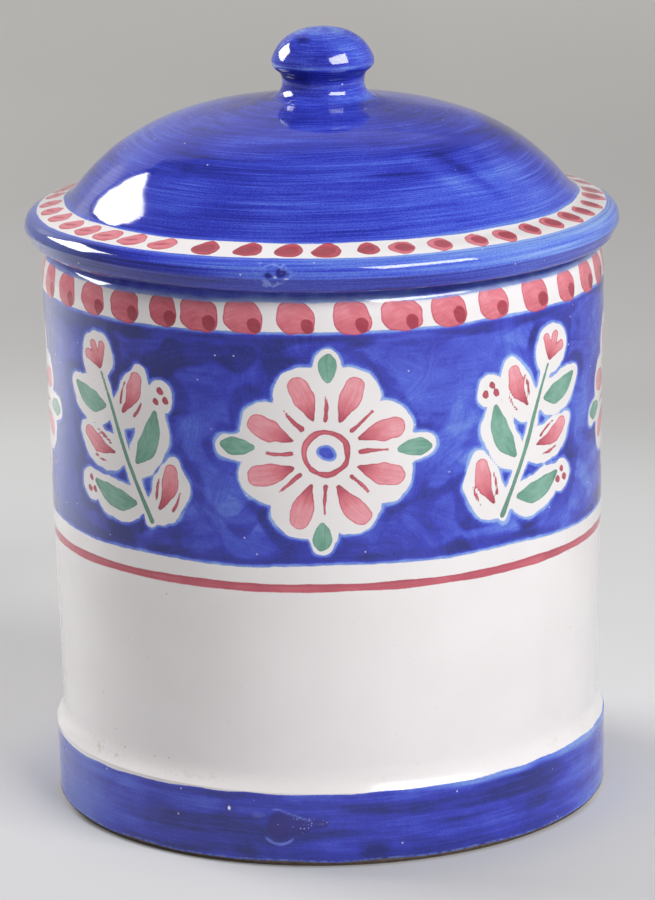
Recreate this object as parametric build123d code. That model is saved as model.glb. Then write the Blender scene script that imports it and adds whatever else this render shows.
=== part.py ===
from build123d import *
import os

os.makedirs("parts", exist_ok=True)

# Wheel-thrown biscuit jar with a lift-off domed lid.  Millimetres, +Z up,
# origin on the jar's axis at the level of the surface it stands on.
# Every piece was made on its own and luted to its neighbour with slip, so
# each one is a separate solid that meets the next face to face.

# ---- driving dimensions -------------------------------------------------
# jar body
foot_bottom_r = 90.9        # outside of the foot band at the table
foot_top_r = 91.1           # outside of the foot band where the wall starts
foot_h = 24.1               # height of the foot band
foot_edge = 1.3             # bevel along the bottom edge of the foot
foot_ring_in_r = 79.5       # inner edge of the ring that the jar stands on
recess_h = 4.0              # depth of the hollow under the jar
floor_z = 11.0              # top of the floor inside the jar
floor_r = 71.0              # flat part of the floor
wall_low_r = 88.9           # outside of the wall just above the cove
wall_low_z = 32.0
wall_high_r = 91.25         # outside of the wall below the shoulder
wall_high_z = 171.0
rim_z = 184.0               # level of the rim, on which the lid rests
rim_out_r = 86.9            # flat land of the rim, outer edge
rim_in_r = 85.2             # flat land of the rim, inner edge
bore_low_r = 82.0           # inside of the wall at the foot
bore_high_r = 84.0          # inside of the wall at the mouth
# lid
flange_r = 96.3             # widest point of the rolled flange
flange_mid_z = 189.9        # height of the widest point
flange_under_r = 91.3       # outer edge of the flat underside
dome_foot_r = 83.3          # where the dome meets the flange
dome_foot_z = 197.6
pad_r = 18.5                # flat pad on top of the dome, under the knob
pad_z = 228.9
hollow_r = 75.8             # inside of the dome at the flange
hollow_top_z = 222.4        # highest point of the hollow under the dome
# locating ring under the lid
ring_out_r = 80.8           # 3.2 mm clear of the mouth all round
ring_in_r = 75.8
ring_low_z = 171.5
ring_edge = 2.2             # rounding of its lower edge
# knob
knob_dx = 1.2               # the knob sits a little off the lid's centre
knob_top_z = 251.6
knob_r = 16.75              # widest point of the cap
knob_neck_r = 13.5          # narrowest point of the neck
knob_base_r = 17.0          # foot of the neck on the dome


def turned(wire_parts, x=0.0):
    """Solid of revolution about the vertical axis from a closed r-z outline."""
    outline = Wire(wire_parts)
    solid = revolve(Face(outline), axis=Axis.Z, revolution_arc=360)
    return Pos(x, 0, 0) * solid


def pt(r, z):
    return (r, 0, z)


def lines(*points):
    return [Line(pt(*a), pt(*b)) for a, b in zip(points[:-1], points[1:])]


def smooth(*points, start=None, end=None):
    """One spline through the points, with optional end directions (r, z)."""
    if start is None and end is None:
        return Spline(*[pt(*p) for p in points])
    return Spline(*[pt(*p) for p in points],
                  tangents=[pt(*start), pt(*end)])


# ---- jar base: foot band, foot ring, recessed underside, dished floor ---
slope = (foot_top_r - foot_bottom_r) / foot_h
base_edges = (
    lines((0, recess_h), (foot_ring_in_r - 4.5, recess_h))
    + [smooth((foot_ring_in_r - 4.5, recess_h),
              (foot_ring_in_r - 2.0, recess_h - 1.4),
              (foot_ring_in_r, 0), start=(1, 0), end=(0.55, -1))]
    + lines((foot_ring_in_r, 0),
            (foot_bottom_r - foot_edge, 0),
            (foot_bottom_r, foot_edge),
            (foot_top_r, foot_h),
            (bore_low_r, foot_h))
    + [smooth((bore_low_r, foot_h), (bore_low_r - 0.9, 17.6),
              (bore_low_r - 4.6, 12.9), (floor_r, floor_z),
              start=(0, -1), end=(-1, 0))]
    + lines((floor_r, floor_z), (0, floor_z), (0, recess_h))
)
jar_base = turned(base_edges)

# ---- jar wall: cove, tapered wall, rounded shoulder, rim ----------------
taper = (wall_high_r - wall_low_r, wall_high_z - wall_low_z)
wall_edges = (
    [smooth((foot_top_r, foot_h), (wall_low_r + 0.75, 26.9),
            (wall_low_r + 0.1, 29.4), (wall_low_r, wall_low_z),
            start=(-0.5, 1), end=taper)]
    + lines((wall_low_r, wall_low_z), (wall_high_r, wall_high_z))
    + [smooth((wall_high_r, wall_high_z), (wall_high_r - 0.55, 176.6),
              (wall_high_r - 2.1, 181.2), (rim_out_r, rim_z),
              start=taper, end=(-1, 0.25))]
    + lines((rim_out_r, rim_z), (rim_in_r, rim_z))
    + [smooth((rim_in_r, rim_z), (bore_high_r + 0.3, rim_z - 0.7),
              (bore_high_r, rim_z - 2.4), start=(-1, 0), end=(0, -1))]
    + lines((bore_high_r, rim_z - 2.4), (bore_low_r, foot_h),
            (foot_top_r, foot_h))
)
jar_wall = turned(wall_edges)

# ---- lid dome with its rolled flange ------------------------------------
dome_edges = (
    lines((0, pad_z), (pad_r, pad_z))
    + [smooth((pad_r, pad_z), (27, 227.5), (36, 225.9), (43, 224.4),
              (51, 221.9), (60, 217.7), (67.6, 212.8), (73.5, 207.6),
              (77.9, 202.9), (80.4, 200.0), (dome_foot_r, dome_foot_z),
              (87.6, 196.1), (92.0, 194.7), (94.3, 193.5), (95.8, 191.9),
              (flange_r, flange_mid_z), (95.9, 187.6), (94.6, 185.5),
              (flange_under_r, rim_z), start=(1, -0.10), end=(-1, -0.06))]
    + lines((flange_under_r, rim_z), (hollow_r, rim_z), (hollow_r, 190.0))
    + [smooth((hollow_r, 190.0), (74.6, 195.6), (71.0, 202.0), (65.0, 208.2),
              (56.5, 213.6), (46.0, 217.6), (32.0, 220.8), (16.0, 222.1),
              (0, hollow_top_z), start=(0, 1), end=(-1, 0))]
    + lines((0, hollow_top_z), (0, pad_z))
)
lid_dome = turned(dome_edges)

# ---- locating ring under the lid ----------------------------------------
e = ring_edge
ring_edges = (
    lines((ring_in_r, rim_z), (ring_out_r, rim_z),
          (ring_out_r - 0.4, ring_low_z + e))
    + [smooth((ring_out_r - 0.4, ring_low_z + e),
              (ring_out_r - 1.1, ring_low_z + 0.6),
              ((ring_out_r + ring_in_r) / 2, ring_low_z),
              (ring_in_r + 1.1, ring_low_z + 0.6),
              (ring_in_r + 0.4, ring_low_z + e),
              start=(-0.1, -1), end=(-0.1, 1))]
    + lines((ring_in_r + 0.4, ring_low_z + e), (ring_in_r, rim_z))
)
lid_locating_ring = turned(ring_edges)

# ---- knob ----------------------------------------------------------------
knob_edges = (
    [smooth((0, knob_top_z), (5.0, knob_top_z - 0.35),
            (9.6, knob_top_z - 1.9), (13.8, knob_top_z - 5.0),
            (16.2, knob_top_z - 8.8), (knob_r, knob_top_z - 11.2),
            (15.8, knob_top_z - 13.2), (14.3, knob_top_z - 14.5),
            (knob_neck_r, knob_top_z - 16.9), (13.6, knob_top_z - 18.9),
            (14.6, knob_top_z - 20.8), (knob_base_r, pad_z),
            start=(1, 0), end=(1, -0.45))]
    + lines((knob_base_r, pad_z), (0, pad_z), (0, knob_top_z))
)
lid_knob = turned(knob_edges, knob_dx)

# ---- write one STEP per piece --------------------------------------------
nodes = {
    "jar_base": jar_base,
    "jar_wall": jar_wall,
    "lid_dome": lid_dome,
    "lid_locating_ring": lid_locating_ring,
    "lid_knob": lid_knob,
}
for name, shape in nodes.items():
    shape.label = name
    export_step(shape, os.path.join("parts", name + ".step"))
    print(name, "volume cm3", round(shape.volume / 1000, 1),
          "valid", shape.is_valid)
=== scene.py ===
import math

import bpy
import numpy as np
from mathutils import Matrix, Vector


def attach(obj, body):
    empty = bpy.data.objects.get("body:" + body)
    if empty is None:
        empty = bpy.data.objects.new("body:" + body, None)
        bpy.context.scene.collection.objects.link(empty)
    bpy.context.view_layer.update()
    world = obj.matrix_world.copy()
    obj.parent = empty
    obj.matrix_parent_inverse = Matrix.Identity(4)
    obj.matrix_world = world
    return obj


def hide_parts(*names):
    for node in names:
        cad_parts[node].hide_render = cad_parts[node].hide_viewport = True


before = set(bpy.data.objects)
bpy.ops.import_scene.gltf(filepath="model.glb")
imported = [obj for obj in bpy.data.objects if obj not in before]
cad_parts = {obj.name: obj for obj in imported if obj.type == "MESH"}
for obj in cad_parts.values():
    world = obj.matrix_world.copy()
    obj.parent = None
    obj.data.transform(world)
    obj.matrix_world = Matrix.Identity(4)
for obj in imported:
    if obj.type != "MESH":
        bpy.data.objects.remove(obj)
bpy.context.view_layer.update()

MM = 0.001
PI = math.pi
R_WALL = 90.4                      # radius at which the wall's painting is laid out, mm
ROUND = 2 * PI * R_WALL            # once round the wall, mm


# =========================================================================
# camera
# =========================================================================
# A long lens a little above the rim, with a slight roll, as the jar is seen.
def make_camera():
    unit = 0.09
    elev, dist, roll = 0.2478, 14.7251, -0.018
    c, s = math.cos(elev), math.sin(elev)
    look = Vector((0, c, -s))
    up0, right0 = Vector((0, s, c)), Vector((1, 0, 0))
    cr, sr = math.cos(roll), math.sin(roll)
    right = cr * right0 + sr * up0
    up = -sr * right0 + cr * up0
    pos = (Vector((0.005, 0, 0.9465 + 0.295)) - look * dist) * unit
    data = bpy.data.cameras.new("camera")
    data.sensor_fit = "AUTO"
    data.sensor_width = 36.0
    data.lens = 4033.13 * 36.0 / 900.0
    data.clip_start, data.clip_end = 0.01, 50.0
    cam = bpy.data.objects.new("camera", data)
    m = Matrix.Identity(4)
    for i in range(3):
        m[i][0], m[i][1], m[i][2], m[i][3] = right[i], up[i], -look[i], pos[i]
    cam.matrix_world = m
    bpy.context.scene.collection.objects.link(cam)
    bpy.context.scene.camera = cam


make_camera()


# =========================================================================
# small numeric helpers
# =========================================================================
def smoothstep(a, b, x):
    t = np.clip((x - a) / (b - a), 0.0, 1.0)
    return t * t * (3 - 2 * t)


def field(seed, theta, v, wave_u, wave_v, terms=40, radius=90.0):
    """Smooth random field, periodic round the axis, with deviation about 1.
    wave_u and wave_v are its usual wavelengths in mm, round and along the profile."""
    rng = np.random.default_rng(seed)
    out = np.zeros_like(theta)
    for _ in range(terms):
        m = int(round(rng.normal(0, 2 * PI * radius / wave_u)))
        q = rng.normal(0, 2 * PI / wave_v)
        out += np.cos(m * theta + q * v + rng.uniform(0, 2 * PI))
    return out / math.sqrt(terms / 2)


def spline(points, step):
    """Points about `step` apart on a smooth curve through the given (r, z) points."""
    P = np.array(points, float)
    seg = np.hypot(*np.diff(P, axis=0).T)
    t = np.r_[0, np.cumsum(seg)]
    # natural cubic spline, solved directly
    n = len(P)
    h = np.diff(t)
    A = np.zeros((n, n))
    B = np.zeros((n, 2))
    A[0, 0] = A[-1, -1] = 1
    for i in range(1, n - 1):
        A[i, i - 1], A[i, i], A[i, i + 1] = h[i - 1], 2 * (h[i - 1] + h[i]), h[i]
        B[i] = 6 * ((P[i + 1] - P[i]) / h[i] - (P[i] - P[i - 1]) / h[i - 1])
    M = np.linalg.solve(A, B)
    out = []
    for i in range(n - 1):
        k = max(1, int(round(h[i] / step)))
        x = np.arange(k) / k * h[i]
        a, b = (h[i] - x)[:, None], x[:, None]
        out.append(
            (M[i] * a ** 3 + M[i + 1] * b ** 3) / (6 * h[i])
            + (P[i] / h[i] - M[i] * h[i] / 6) * a
            + (P[i + 1] / h[i] - M[i + 1] * h[i] / 6) * b
        )
    out.append(P[-1:])
    return np.vstack(out)


def straight(a, b, step):
    k = max(1, int(round(math.hypot(b[0] - a[0], b[1] - a[1]) / step)))
    t = np.arange(k + 1)[:, None] / k
    return np.array(a, float) * (1 - t) + np.array(b, float) * t


def chain(*parts):
    """Joins runs of (r, z) points, leaving out the doubled ones."""
    out = [parts[0]]
    for p in parts[1:]:
        out.append(p[1:] if np.allclose(out[-1][-1], p[0], atol=1e-6) else p)
    return np.vstack(out)


# =========================================================================
# turned meshes
# =========================================================================
class Turned:
    """A closed turned piece. `outline` holds (r, z) in mm and `cols` the number
    of points round each of its rings, where neighbours are equal or 2 to 1.
    A ring with r = 0 is one point on the axis. loop=True closes the outline."""

    def __init__(self, outline, cols, loop=False):
        self.outline = np.array(outline, float)
        self.cols = [1 if r < 1e-6 else int(c) for (r, z), c in zip(self.outline, cols)]
        self.loop = loop
        d = np.hypot(*np.diff(self.outline, axis=0).T)
        arc = np.r_[0, np.cumsum(d)]
        self.start = np.r_[0, np.cumsum(self.cols)]
        ring, th, r, z, s = [], [], [], [], []
        for i, n in enumerate(self.cols):
            ring.append(np.full(n, i))
            th.append(-PI + 2 * PI * np.arange(n) / n if n > 1 else np.zeros(1))
            r.append(np.full(n, self.outline[i, 0]))
            z.append(np.full(n, self.outline[i, 1]))
            s.append(np.full(n, arc[i]))
        self.ring, self.th, self.r, self.z, self.s = map(np.concatenate, (ring, th, r, z, s))
        # outward direction of the outline at each ring
        P = self.outline
        if loop:
            T = np.roll(P, -1, 0) - np.roll(P, 1, 0)
        else:
            T = np.gradient(P, axis=0)
        T /= np.maximum(np.hypot(*T.T), 1e-9)[:, None]
        x, y = P[:, 0], P[:, 1]
        turn = np.sign(np.sum(x * np.roll(y, -1) - y * np.roll(x, -1)))   # +1 if it runs anticlockwise
        self.N = np.stack([T[:, 1], -T[:, 0]], -1) * turn
        self.nr, self.nz = self.N[self.ring, 0], self.N[self.ring, 1]
        self.faces()
        self.attrs = {}

    def faces(self):
        tri, quad = [], []
        tri_t, quad_t = [], []
        n_rings = len(self.cols)
        pairs = [(i, i + 1) for i in range(n_rings - 1)]
        if self.loop:
            pairs.append((n_rings - 1, 0))
        for a, b in pairs:
            na, nb = self.cols[a], self.cols[b]
            sa, sb = self.start[a], self.start[b]
            if na == nb:
                j = np.arange(na)
                k = (j + 1) % na
                quad.append(np.stack([sa + j, sa + k, sb + k, sb + j], -1))
                quad_t.append(np.stack([j, j + 1, j + 1, j], -1) / na)
            elif na == 1 or nb == 1:
                n = max(na, nb)
                j = np.arange(n)
                k = (j + 1) % n
                if na == 1:
                    tri.append(np.stack([np.full(n, sa), sb + k, sb + j], -1))
                    tri_t.append(np.stack([j + 0.5, j + 1, j], -1) / n)
                else:
                    tri.append(np.stack([sa + j, sa + k, np.full(n, sb)], -1))
                    tri_t.append(np.stack([j, j + 1, j + 0.5], -1) / n)
            else:
                fine_a = na > nb
                n, f = min(na, nb), max(na, nb)
                assert f == 2 * n, (na, nb)
                j = np.arange(n)
                c0, c1 = j, (j + 1) % n
                f0, f1, f2 = 2 * j, 2 * j + 1, (2 * j + 2) % f
                sc, sf = (sb, sa) if fine_a else (sa, sb)
                sets = [
                    ((sf + f0, j / n), (sf + f1, (j + 0.5) / n), (sc + c0, j / n)),
                    ((sf + f1, (j + 0.5) / n), (sc + c1, (j + 1) / n), (sc + c0, j / n)),
                    ((sf + f1, (j + 0.5) / n), (sf + f2, (j + 1) / n), (sc + c1, (j + 1) / n)),
                ]
                for three in sets:
                    if not fine_a:
                        three = three[::-1]
                    tri.append(np.stack([x[0] for x in three], -1))
                    tri_t.append(np.stack([x[1] for x in three], -1))
        self.tri = np.vstack(tri) if tri else np.zeros((0, 3), int)
        self.quad = np.vstack(quad) if quad else np.zeros((0, 4), int)
        self.tri_t = np.vstack(tri_t) if tri_t else np.zeros((0, 3))
        self.quad_t = np.vstack(quad_t) if quad_t else np.zeros((0, 4))

    def push(self, amount):
        """Moves the surface outwards by `amount` mm at each point."""
        self.r = np.where(self.r > 1e-6, self.r + self.nr * amount, self.r)
        self.z = self.z + self.nz * amount

    def build(self, name, body, material, dx=0.0, uv=None):
        x = (self.r * np.sin(self.th) + dx) * MM
        y = -self.r * np.cos(self.th) * MM
        co = np.stack([x, y, self.z * MM], -1)
        quad, tri = self.quad, self.tri
        quad_t, tri_t = self.quad_t, self.tri_t
        # faces turned to look outwards
        vol = 0.0
        for F in (tri, quad[:, [0, 1, 2]], quad[:, [0, 2, 3]]):
            a, b, c = co[F[:, 0]], co[F[:, 1]], co[F[:, 2]]
            vol += np.einsum("ij,ij->", a, np.cross(b, c))
        if vol < 0:
            quad, tri, quad_t, tri_t = quad[:, ::-1], tri[:, ::-1], quad_t[:, ::-1], tri_t[:, ::-1]
        me = bpy.data.meshes.new(name)
        me.vertices.add(len(co))
        me.vertices.foreach_set("co", co.astype(np.float32).ravel())
        loops = np.concatenate([quad.ravel(), tri.ravel()]).astype(np.int32)
        total = np.concatenate([np.full(len(quad), 4), np.full(len(tri), 3)]).astype(np.int32)
        first = np.r_[0, np.cumsum(total)[:-1]].astype(np.int32)
        me.loops.add(len(loops))
        me.loops.foreach_set("vertex_index", loops)
        me.polygons.add(len(total))
        me.polygons.foreach_set("loop_start", first)
        me.polygons.foreach_set("loop_total", total)
        me.update(calc_edges=True)
        me.validate()
        me.polygons.foreach_set("use_smooth", np.ones(len(total), bool))
        me.set_sharp_from_angle(angle=math.radians(42))
        for key, val in self.attrs.items():
            at = me.attributes.new(key, "FLOAT", "POINT")
            at.data.foreach_set("value", np.asarray(val, np.float32))
        if uv is not None:
            t = np.concatenate([quad_t.ravel(), tri_t.ravel()])
            mid = np.concatenate([np.repeat(quad_t.mean(1), 4), np.repeat(tri_t.mean(1), 3)])
            ring = self.ring[loops]
            ring_f = np.concatenate([
                np.repeat(self.ring[quad].max(1), 4), np.repeat(self.ring[tri].max(1), 3)])
            low_f = np.concatenate([
                np.repeat(self.ring[quad].min(1), 4), np.repeat(self.ring[tri].min(1), 3)])
            st = uv(self, t, mid, ring, ring_f, low_f)
            layer = me.uv_layers.new(name="OFBake")
            layer.data.foreach_set("uv", st.astype(np.float32).ravel())
        me.materials.append(material)
        ob = bpy.data.objects.new(name, me)
        bpy.context.scene.collection.objects.link(ob)
        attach(ob, body)
        return ob


# =========================================================================
# brush strokes
# =========================================================================
def curve2(points, step=0.4):
    """A smooth line through the points, sampled about `step` mm apart."""
    P = np.array(points, float)
    if len(P) == 2:
        n = max(2, int(np.hypot(*(P[1] - P[0])) / step) + 1)
        t = np.linspace(0, 1, n)[:, None]
        return P[0] * (1 - t) + P[1] * t, t[:, 0]
    C = spline(P, step)
    d = np.r_[0, np.cumsum(np.hypot(*np.diff(C, axis=0).T))]
    return C, d / d[-1]


class Painting:
    """Layers of paint on the wall, as how far each point lies inside a brush
    stroke (mm, positive inside)."""

    def __init__(self, u, v):
        self.u, self.v = u, v
        n = len(u)
        self.layer = {k: np.full(n, -9.0) for k in ("reserve", "rose", "green", "dab")}
        self.tone = np.full(n, 0.25)
        self.su = np.zeros(n)
        self.sv = np.zeros(n)
        self.k = 0

    def near(self, u0, lo, hi):
        du = (self.u - u0 + ROUND / 2) % ROUND - ROUND / 2
        idx = np.nonzero((du > lo[0]) & (du < hi[0]) & (self.v > lo[1]) & (self.v < hi[1]))[0]
        return idx, np.stack([du[idx], self.v[idx]], -1)

    def stroke(self, layer, u0, pts, radii, tone=None, margin=9.0, wob=0.25):
        """One stroke through pts (mm, du and z) with a half-width at each point."""
        pts = np.array(pts, float)
        radii = np.broadcast_to(np.array(radii, float), (len(pts),)) if np.ndim(radii) == 0 else np.array(radii, float)
        C, t = curve2(pts)
        R = np.interp(t, np.linspace(0, 1, len(radii)), radii)
        rng = np.random.default_rng(1000 + self.k)
        self.k += 1
        R = R * (1 + wob * 0.35 * np.convolve(rng.normal(0, 1, len(R) + 12), np.ones(13) / 13, "valid"))
        pad = margin + R.max()
        idx, Q = self.near(u0, C.min(0) - pad, C.max(0) + pad)
        if not len(idx):
            return
        D = np.hypot(Q[:, None, 0] - C[None, :, 0], Q[:, None, 1] - C[None, :, 1]) - R[None]
        i = D.argmin(1)
        inside = -D[np.arange(len(i)), i]
        cur = self.layer[layer][idx]
        win = inside > cur
        w = idx[win]
        self.layer[layer][w] = inside[win]
        if layer in ("rose", "green"):
            T = np.gradient(C, axis=0)
            T /= np.maximum(np.hypot(*T.T), 1e-9)[:, None]
            off = (Q[:, 0] - C[i, 0]) * -T[i, 1] + (Q[:, 1] - C[i, 1]) * T[i, 0]
            length = t[i] * max(1.0, np.hypot(*np.diff(C, axis=0).T).sum())
            put = win & (inside > -2.0)
            self.su[idx[put]] = length[put] + 3.1 * self.k
            self.sv[idx[put]] = off[put] + 1.7 * self.k
            if tone is not None:
                tn = np.interp(t[i], np.linspace(0, 1, len(tone)), tone)
                self.tone[idx[put]] = tn[put]


def dot_shape(x, y, a, b, power=2.5):
    """Roughly how far (x, y) lies inside a squarish oval of half-axes a and b."""
    f = (np.abs(x / a) ** power + np.abs(y / b) ** power) ** (1 / power)
    return (1 - f) * min(a, b)


# Front dots as the brush set them down, in degrees from the front; the rest
# of the ring is spaced like them.
def around(front, pitch, seed):
    rng = np.random.default_rng(seed)
    out = list(front)
    gap = 360 - (front[-1] - front[0])
    n = int(round(gap / pitch))
    for i in range(1, n):
        out.append(front[-1] + gap * i / n + rng.normal(0, 0.07) * pitch)
    return np.array(out), rng


# =========================================================================
# the wall's painting
# =========================================================================
def rosette(p, u0, seed, turn=0.0):
    """A scalloped white disc with eight brushed petals, a ring and a heart."""
    rng = np.random.default_rng(seed)
    v0 = 134.0 + rng.normal(0, 0.4)

    def at(a, r):
        return (r * math.cos(a), v0 + r * math.sin(a))

    p.stroke("reserve", u0, [(-0.1, v0), (0.1, v0)], 20.0)
    for k in range(8):
        a = turn + PI / 8 + k * PI / 4 + rng.normal(0, 0.025)
        reach = 19.4 + rng.normal(0, 0.4)
        size = 8.8 + rng.normal(0, 0.2)
        p.stroke("reserve", u0, [at(a, 8), at(a, reach)], [6, size])
        # petal: pressed down at the tip and drawn in to the heart
        lean = rng.normal(0, 0.04)
        p.stroke("rose", u0, [at(a + lean, 22.6), at(a, 18.0), at(a - lean, 11.2)],
                 [3.3, 3.6, 2.1, 0.6], tone=[0.10, 0.18, 0.42, 0.78])
        # a fine line between two petals, flicked outwards
        b = a + PI / 8 + rng.normal(0, 0.03)
        p.stroke("rose", u0, [at(b, 10.6), at(b + rng.normal(0, 0.02), 14.5), at(b, 18.6 + rng.normal(0, 0.5))],
                 [0.75, 0.62, 0.35], tone=[0.62, 0.45, 0.30], wob=0.4)
    # ring round the heart
    ring = [at(turn + k * PI / 6, 6.8 + rng.normal(0, 0.13)) for k in range(13)]
    ring[-1] = at(turn + 2 * PI + 0.10, 6.6)
    p.stroke("rose", u0, ring, [0.9, 0.8, 1.0, 0.75, 0.95, 0.7], tone=[0.6, 0.40, 0.7], wob=0.5)
    p.stroke("dab", u0, [(-1.1, v0 + 0.5), (0.4, v0), (1.2, v0 - 0.6)], [2.0, 2.6, 2.1])
    # green leaves that look out between the petals
    for a in (turn, turn + PI, turn + PI / 2, turn - PI / 2):
        a += rng.normal(0, 0.04)
        long = 32.5 if abs(math.cos(a)) > 0.7 else 30.5
        p.stroke("reserve", u0, [at(a, 22), at(a + 0.02, long - 1.5)], [5.4, 3.6])
        p.stroke("green", u0, [at(a, long - 0.3), at(a + 0.01, 27.6), at(a, 23.0)],
                 [1.2, 3.0, 2.4, 1.0], tone=[0.5, 0.3, 0.2])


def spray(p, u0, seed, flip=1):
    """A curved stem with broad leaves in white reserves, rose and green by turns."""
    rng = np.random.default_rng(seed)
    stem = np.array([(-12 * flip, 108.0), (-7 * flip, 118), (-1 * flip, 131), (3.5 * flip, 143), (8 * flip, 153)])
    C, t = curve2(stem)
    T = np.gradient(C, axis=0)
    T /= np.hypot(*T.T)[:, None]

    def on(f):
        i = int(round(f * (len(C) - 1)))
        return C[i], T[i]

    p.stroke("reserve", u0, stem, 2.3)
    p.stroke("green", u0, stem, [0.95, 0.75, 0.85, 0.7, 0.5], tone=[0.7, 0.45], wob=0.45)
    leaves = [(0.02, 1, 18.5, 0), (0.12, -1, 20.5, 1), (0.36, 1, 20.0, 1), (0.46, -1, 18.5, 0),
              (0.69, 1, 17.0, 0), (0.77, -1, 17.5, 1)]
    for f, side, length, kind in leaves:
        c, d = on(f)
        side *= flip
        n = np.array([-d[1], d[0]]) * side
        tip = c + (d * 0.66 + n * 0.92) * length
        mid = c + (d * 0.22 + n * 0.62) * length * 0.78
        p.stroke("reserve", u0, [c, mid, tip], [2.4, 6.2, 6.6, 3.0])
        if kind:
            p.stroke("green", u0, [tip + (c - tip) * 0.02, mid + (tip - mid) * 0.2, c + (mid - c) * 0.38],
                     [0.9, 3.2, 3.6, 0.9], tone=[0.45, 0.22, 0.55])
        else:
            # pressed down near the tip, drawn in to the stem, with a short line each side
            p.stroke("rose", u0, [tip + (c - tip) * 0.12, mid + (tip - mid) * 0.25, c + (mid - c) * 0.55],
                     [2.4, 3.1, 1.7, 0.5], tone=[0.08, 0.22, 0.50, 0.85])
            axis = tip - c
            across = np.array([-axis[1], axis[0]]) / np.hypot(*axis)
            for w in (-1, 1):
                a = mid + (tip - mid) * 0.42 + across * w * 4.3
                b = mid + across * w * 3.3 - axis * 0.10
                p.stroke("rose", u0, [a, (a + b) / 2 + across * w * 0.35, b], [0.30, 0.55, 0.45],
                         tone=[0.35, 0.6], wob=0.4)
    # bud at the top: a white round with three pressed dabs
    c, d = on(1.0)
    n = np.array([-d[1], d[0]])
    b = c + d * 5.0
    p.stroke("reserve", u0, [b, b + d * 0.5], 7.9)
    for w in (-1, 1, 0):
        tip = b + d * (4.2 - abs(w) * 1.9) + n * w * 4.1
        p.stroke("rose", u0, [tip, b + n * w * 1.9 - d * 0.2, b - d * 3.4 + n * w * 0.35], [1.7, 1.5, 0.45],
                 tone=[0.12, 0.30, 0.8])
    # small groups of three dots in their own reserves, as a brush tip leaves them
    for du, dv in ((16.0 * flip, 115.5), (-17.0 * flip, 148.5)):
        p.stroke("reserve", u0, [(du, dv), (du + 0.1, dv)], 5.1)
        for k in range(3):
            a = PI / 2 + k * 2 * PI / 3 + rng.normal(0, 0.15)
            q = np.array([du + 2.1 * math.cos(a), dv + 2.1 * math.sin(a)])
            p.stroke("rose", u0, [q, q + [0.5, -0.5]], [1.05, 0.9], tone=[0.75, 0.6])


def collar_edge(th):
    """Height of the lower edge of the blue collar."""
    return 180.1 + 0.22 * field(11, th, th * 0, 60, 50, 12)


def ground_top(th):
    return 171.35 + 0.45 * np.sin(th + 0.5) + 0.16 * field(12, th, th * 0, 45, 50, 12)


def ground_low(th):
    return 97.2 + 0.3 * field(13, th, th * 0, 110, 50, 10) + 0.08 * field(14, th, th * 0, 14, 50, 10)


def foot_edge(th):
    """Height of the painted top edge of the foot band."""
    return 23.95 + 0.95 * np.sin(th) - 0.45 * smoothstep(-0.3, -0.9, th) * smoothstep(-1.7, -1.1, th) \
        + 0.12 * field(15, th, th * 0, 30, 50, 12)


def band_rim(th):
    """Width of the thin colour along the foot band's top edge: broad on the right."""
    return 0.50 + 1.7 * smoothstep(-0.15, 0.75, th) * smoothstep(2.9, 2.2, th) \
        + 1.0 * smoothstep(-2.0, -2.6, th) + 0.22 * field(51, th, th * 0, 60, 50, 12)


def band_tone(th, z):
    """How deep the blue of the foot band is, from its top edge down."""
    u = th * 91.0
    b = foot_edge(th) - z
    rim_w = np.maximum(band_rim(th), 0.3)
    deep = 0.86 + 0.05 * field(52, th, z, 80, 18, 24) - 0.23 * smoothstep(-0.62, -1.10, th) * smoothstep(-2.3, -1.8, th)
    deep = deep - 0.22 * smoothstep(0.72, 1.2, th) * smoothstep(2.6, 1.9, th)
    rng = np.random.default_rng(8)
    for k in range(150):
        u0 = rng.uniform(-PI, PI) * 91
        v0 = rng.uniform(0, 24)
        du = (u - u0 + PI * 91) % (2 * PI * 91) - PI * 91
        half = rng.uniform(16, 62)
        wdt = rng.uniform(0.5, 2.6)
        slope = rng.normal(0, 0.035)
        prof = np.exp(-np.abs((z - v0 - slope * du - 0.0006 * rng.normal() * du * du) / wdt) ** 3)
        ends = smoothstep(half, half * 0.6, np.abs(du))
        deep = deep + rng.normal(0, 0.070) * prof * ends
    deep = np.clip(deep, 0.40, 0.95)
    # colour gathers in a line below the thin rim
    line = smoothstep(rim_w * 0.75, rim_w + 0.6, b) * (1 - smoothstep(rim_w + 1.0, rim_w + 3.2, b))
    deep = deep + 0.10 * line * np.clip(0.7 + 0.5 * field(53, th, th * 0, 40, 30, 12), 0, 1.3)
    thin = 0.16 + 0.26 * smoothstep(0.05, 0.6, th) * smoothstep(2.9, 2.2, th) + 0.2 * smoothstep(-2.0, -2.6, th)
    deep = deep - thin * (1 - smoothstep(rim_w * 0.35, rim_w * 1.25 + 0.2, b))
    # smudges low on the front
    for deg, zz, wu, wz, amt in ((8.2, 5.2, 5.2, 2.6, 0.22), (-17.5, 4.4, 4.6, 2.4, 0.16), (24.0, 12.0, 13.0, 1.2, 0.14),
                                 (-36.0, 16.5, 13.0, 3.2, 0.12), (16.0, 17.6, 12.0, 2.2, 0.12)):
        deep = deep + amt * smoothstep(-0.5, 1.0, 1 - np.hypot((u - math.radians(deg) * 91.0) / wu, (z - zz) / wz))
    return deep


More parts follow.
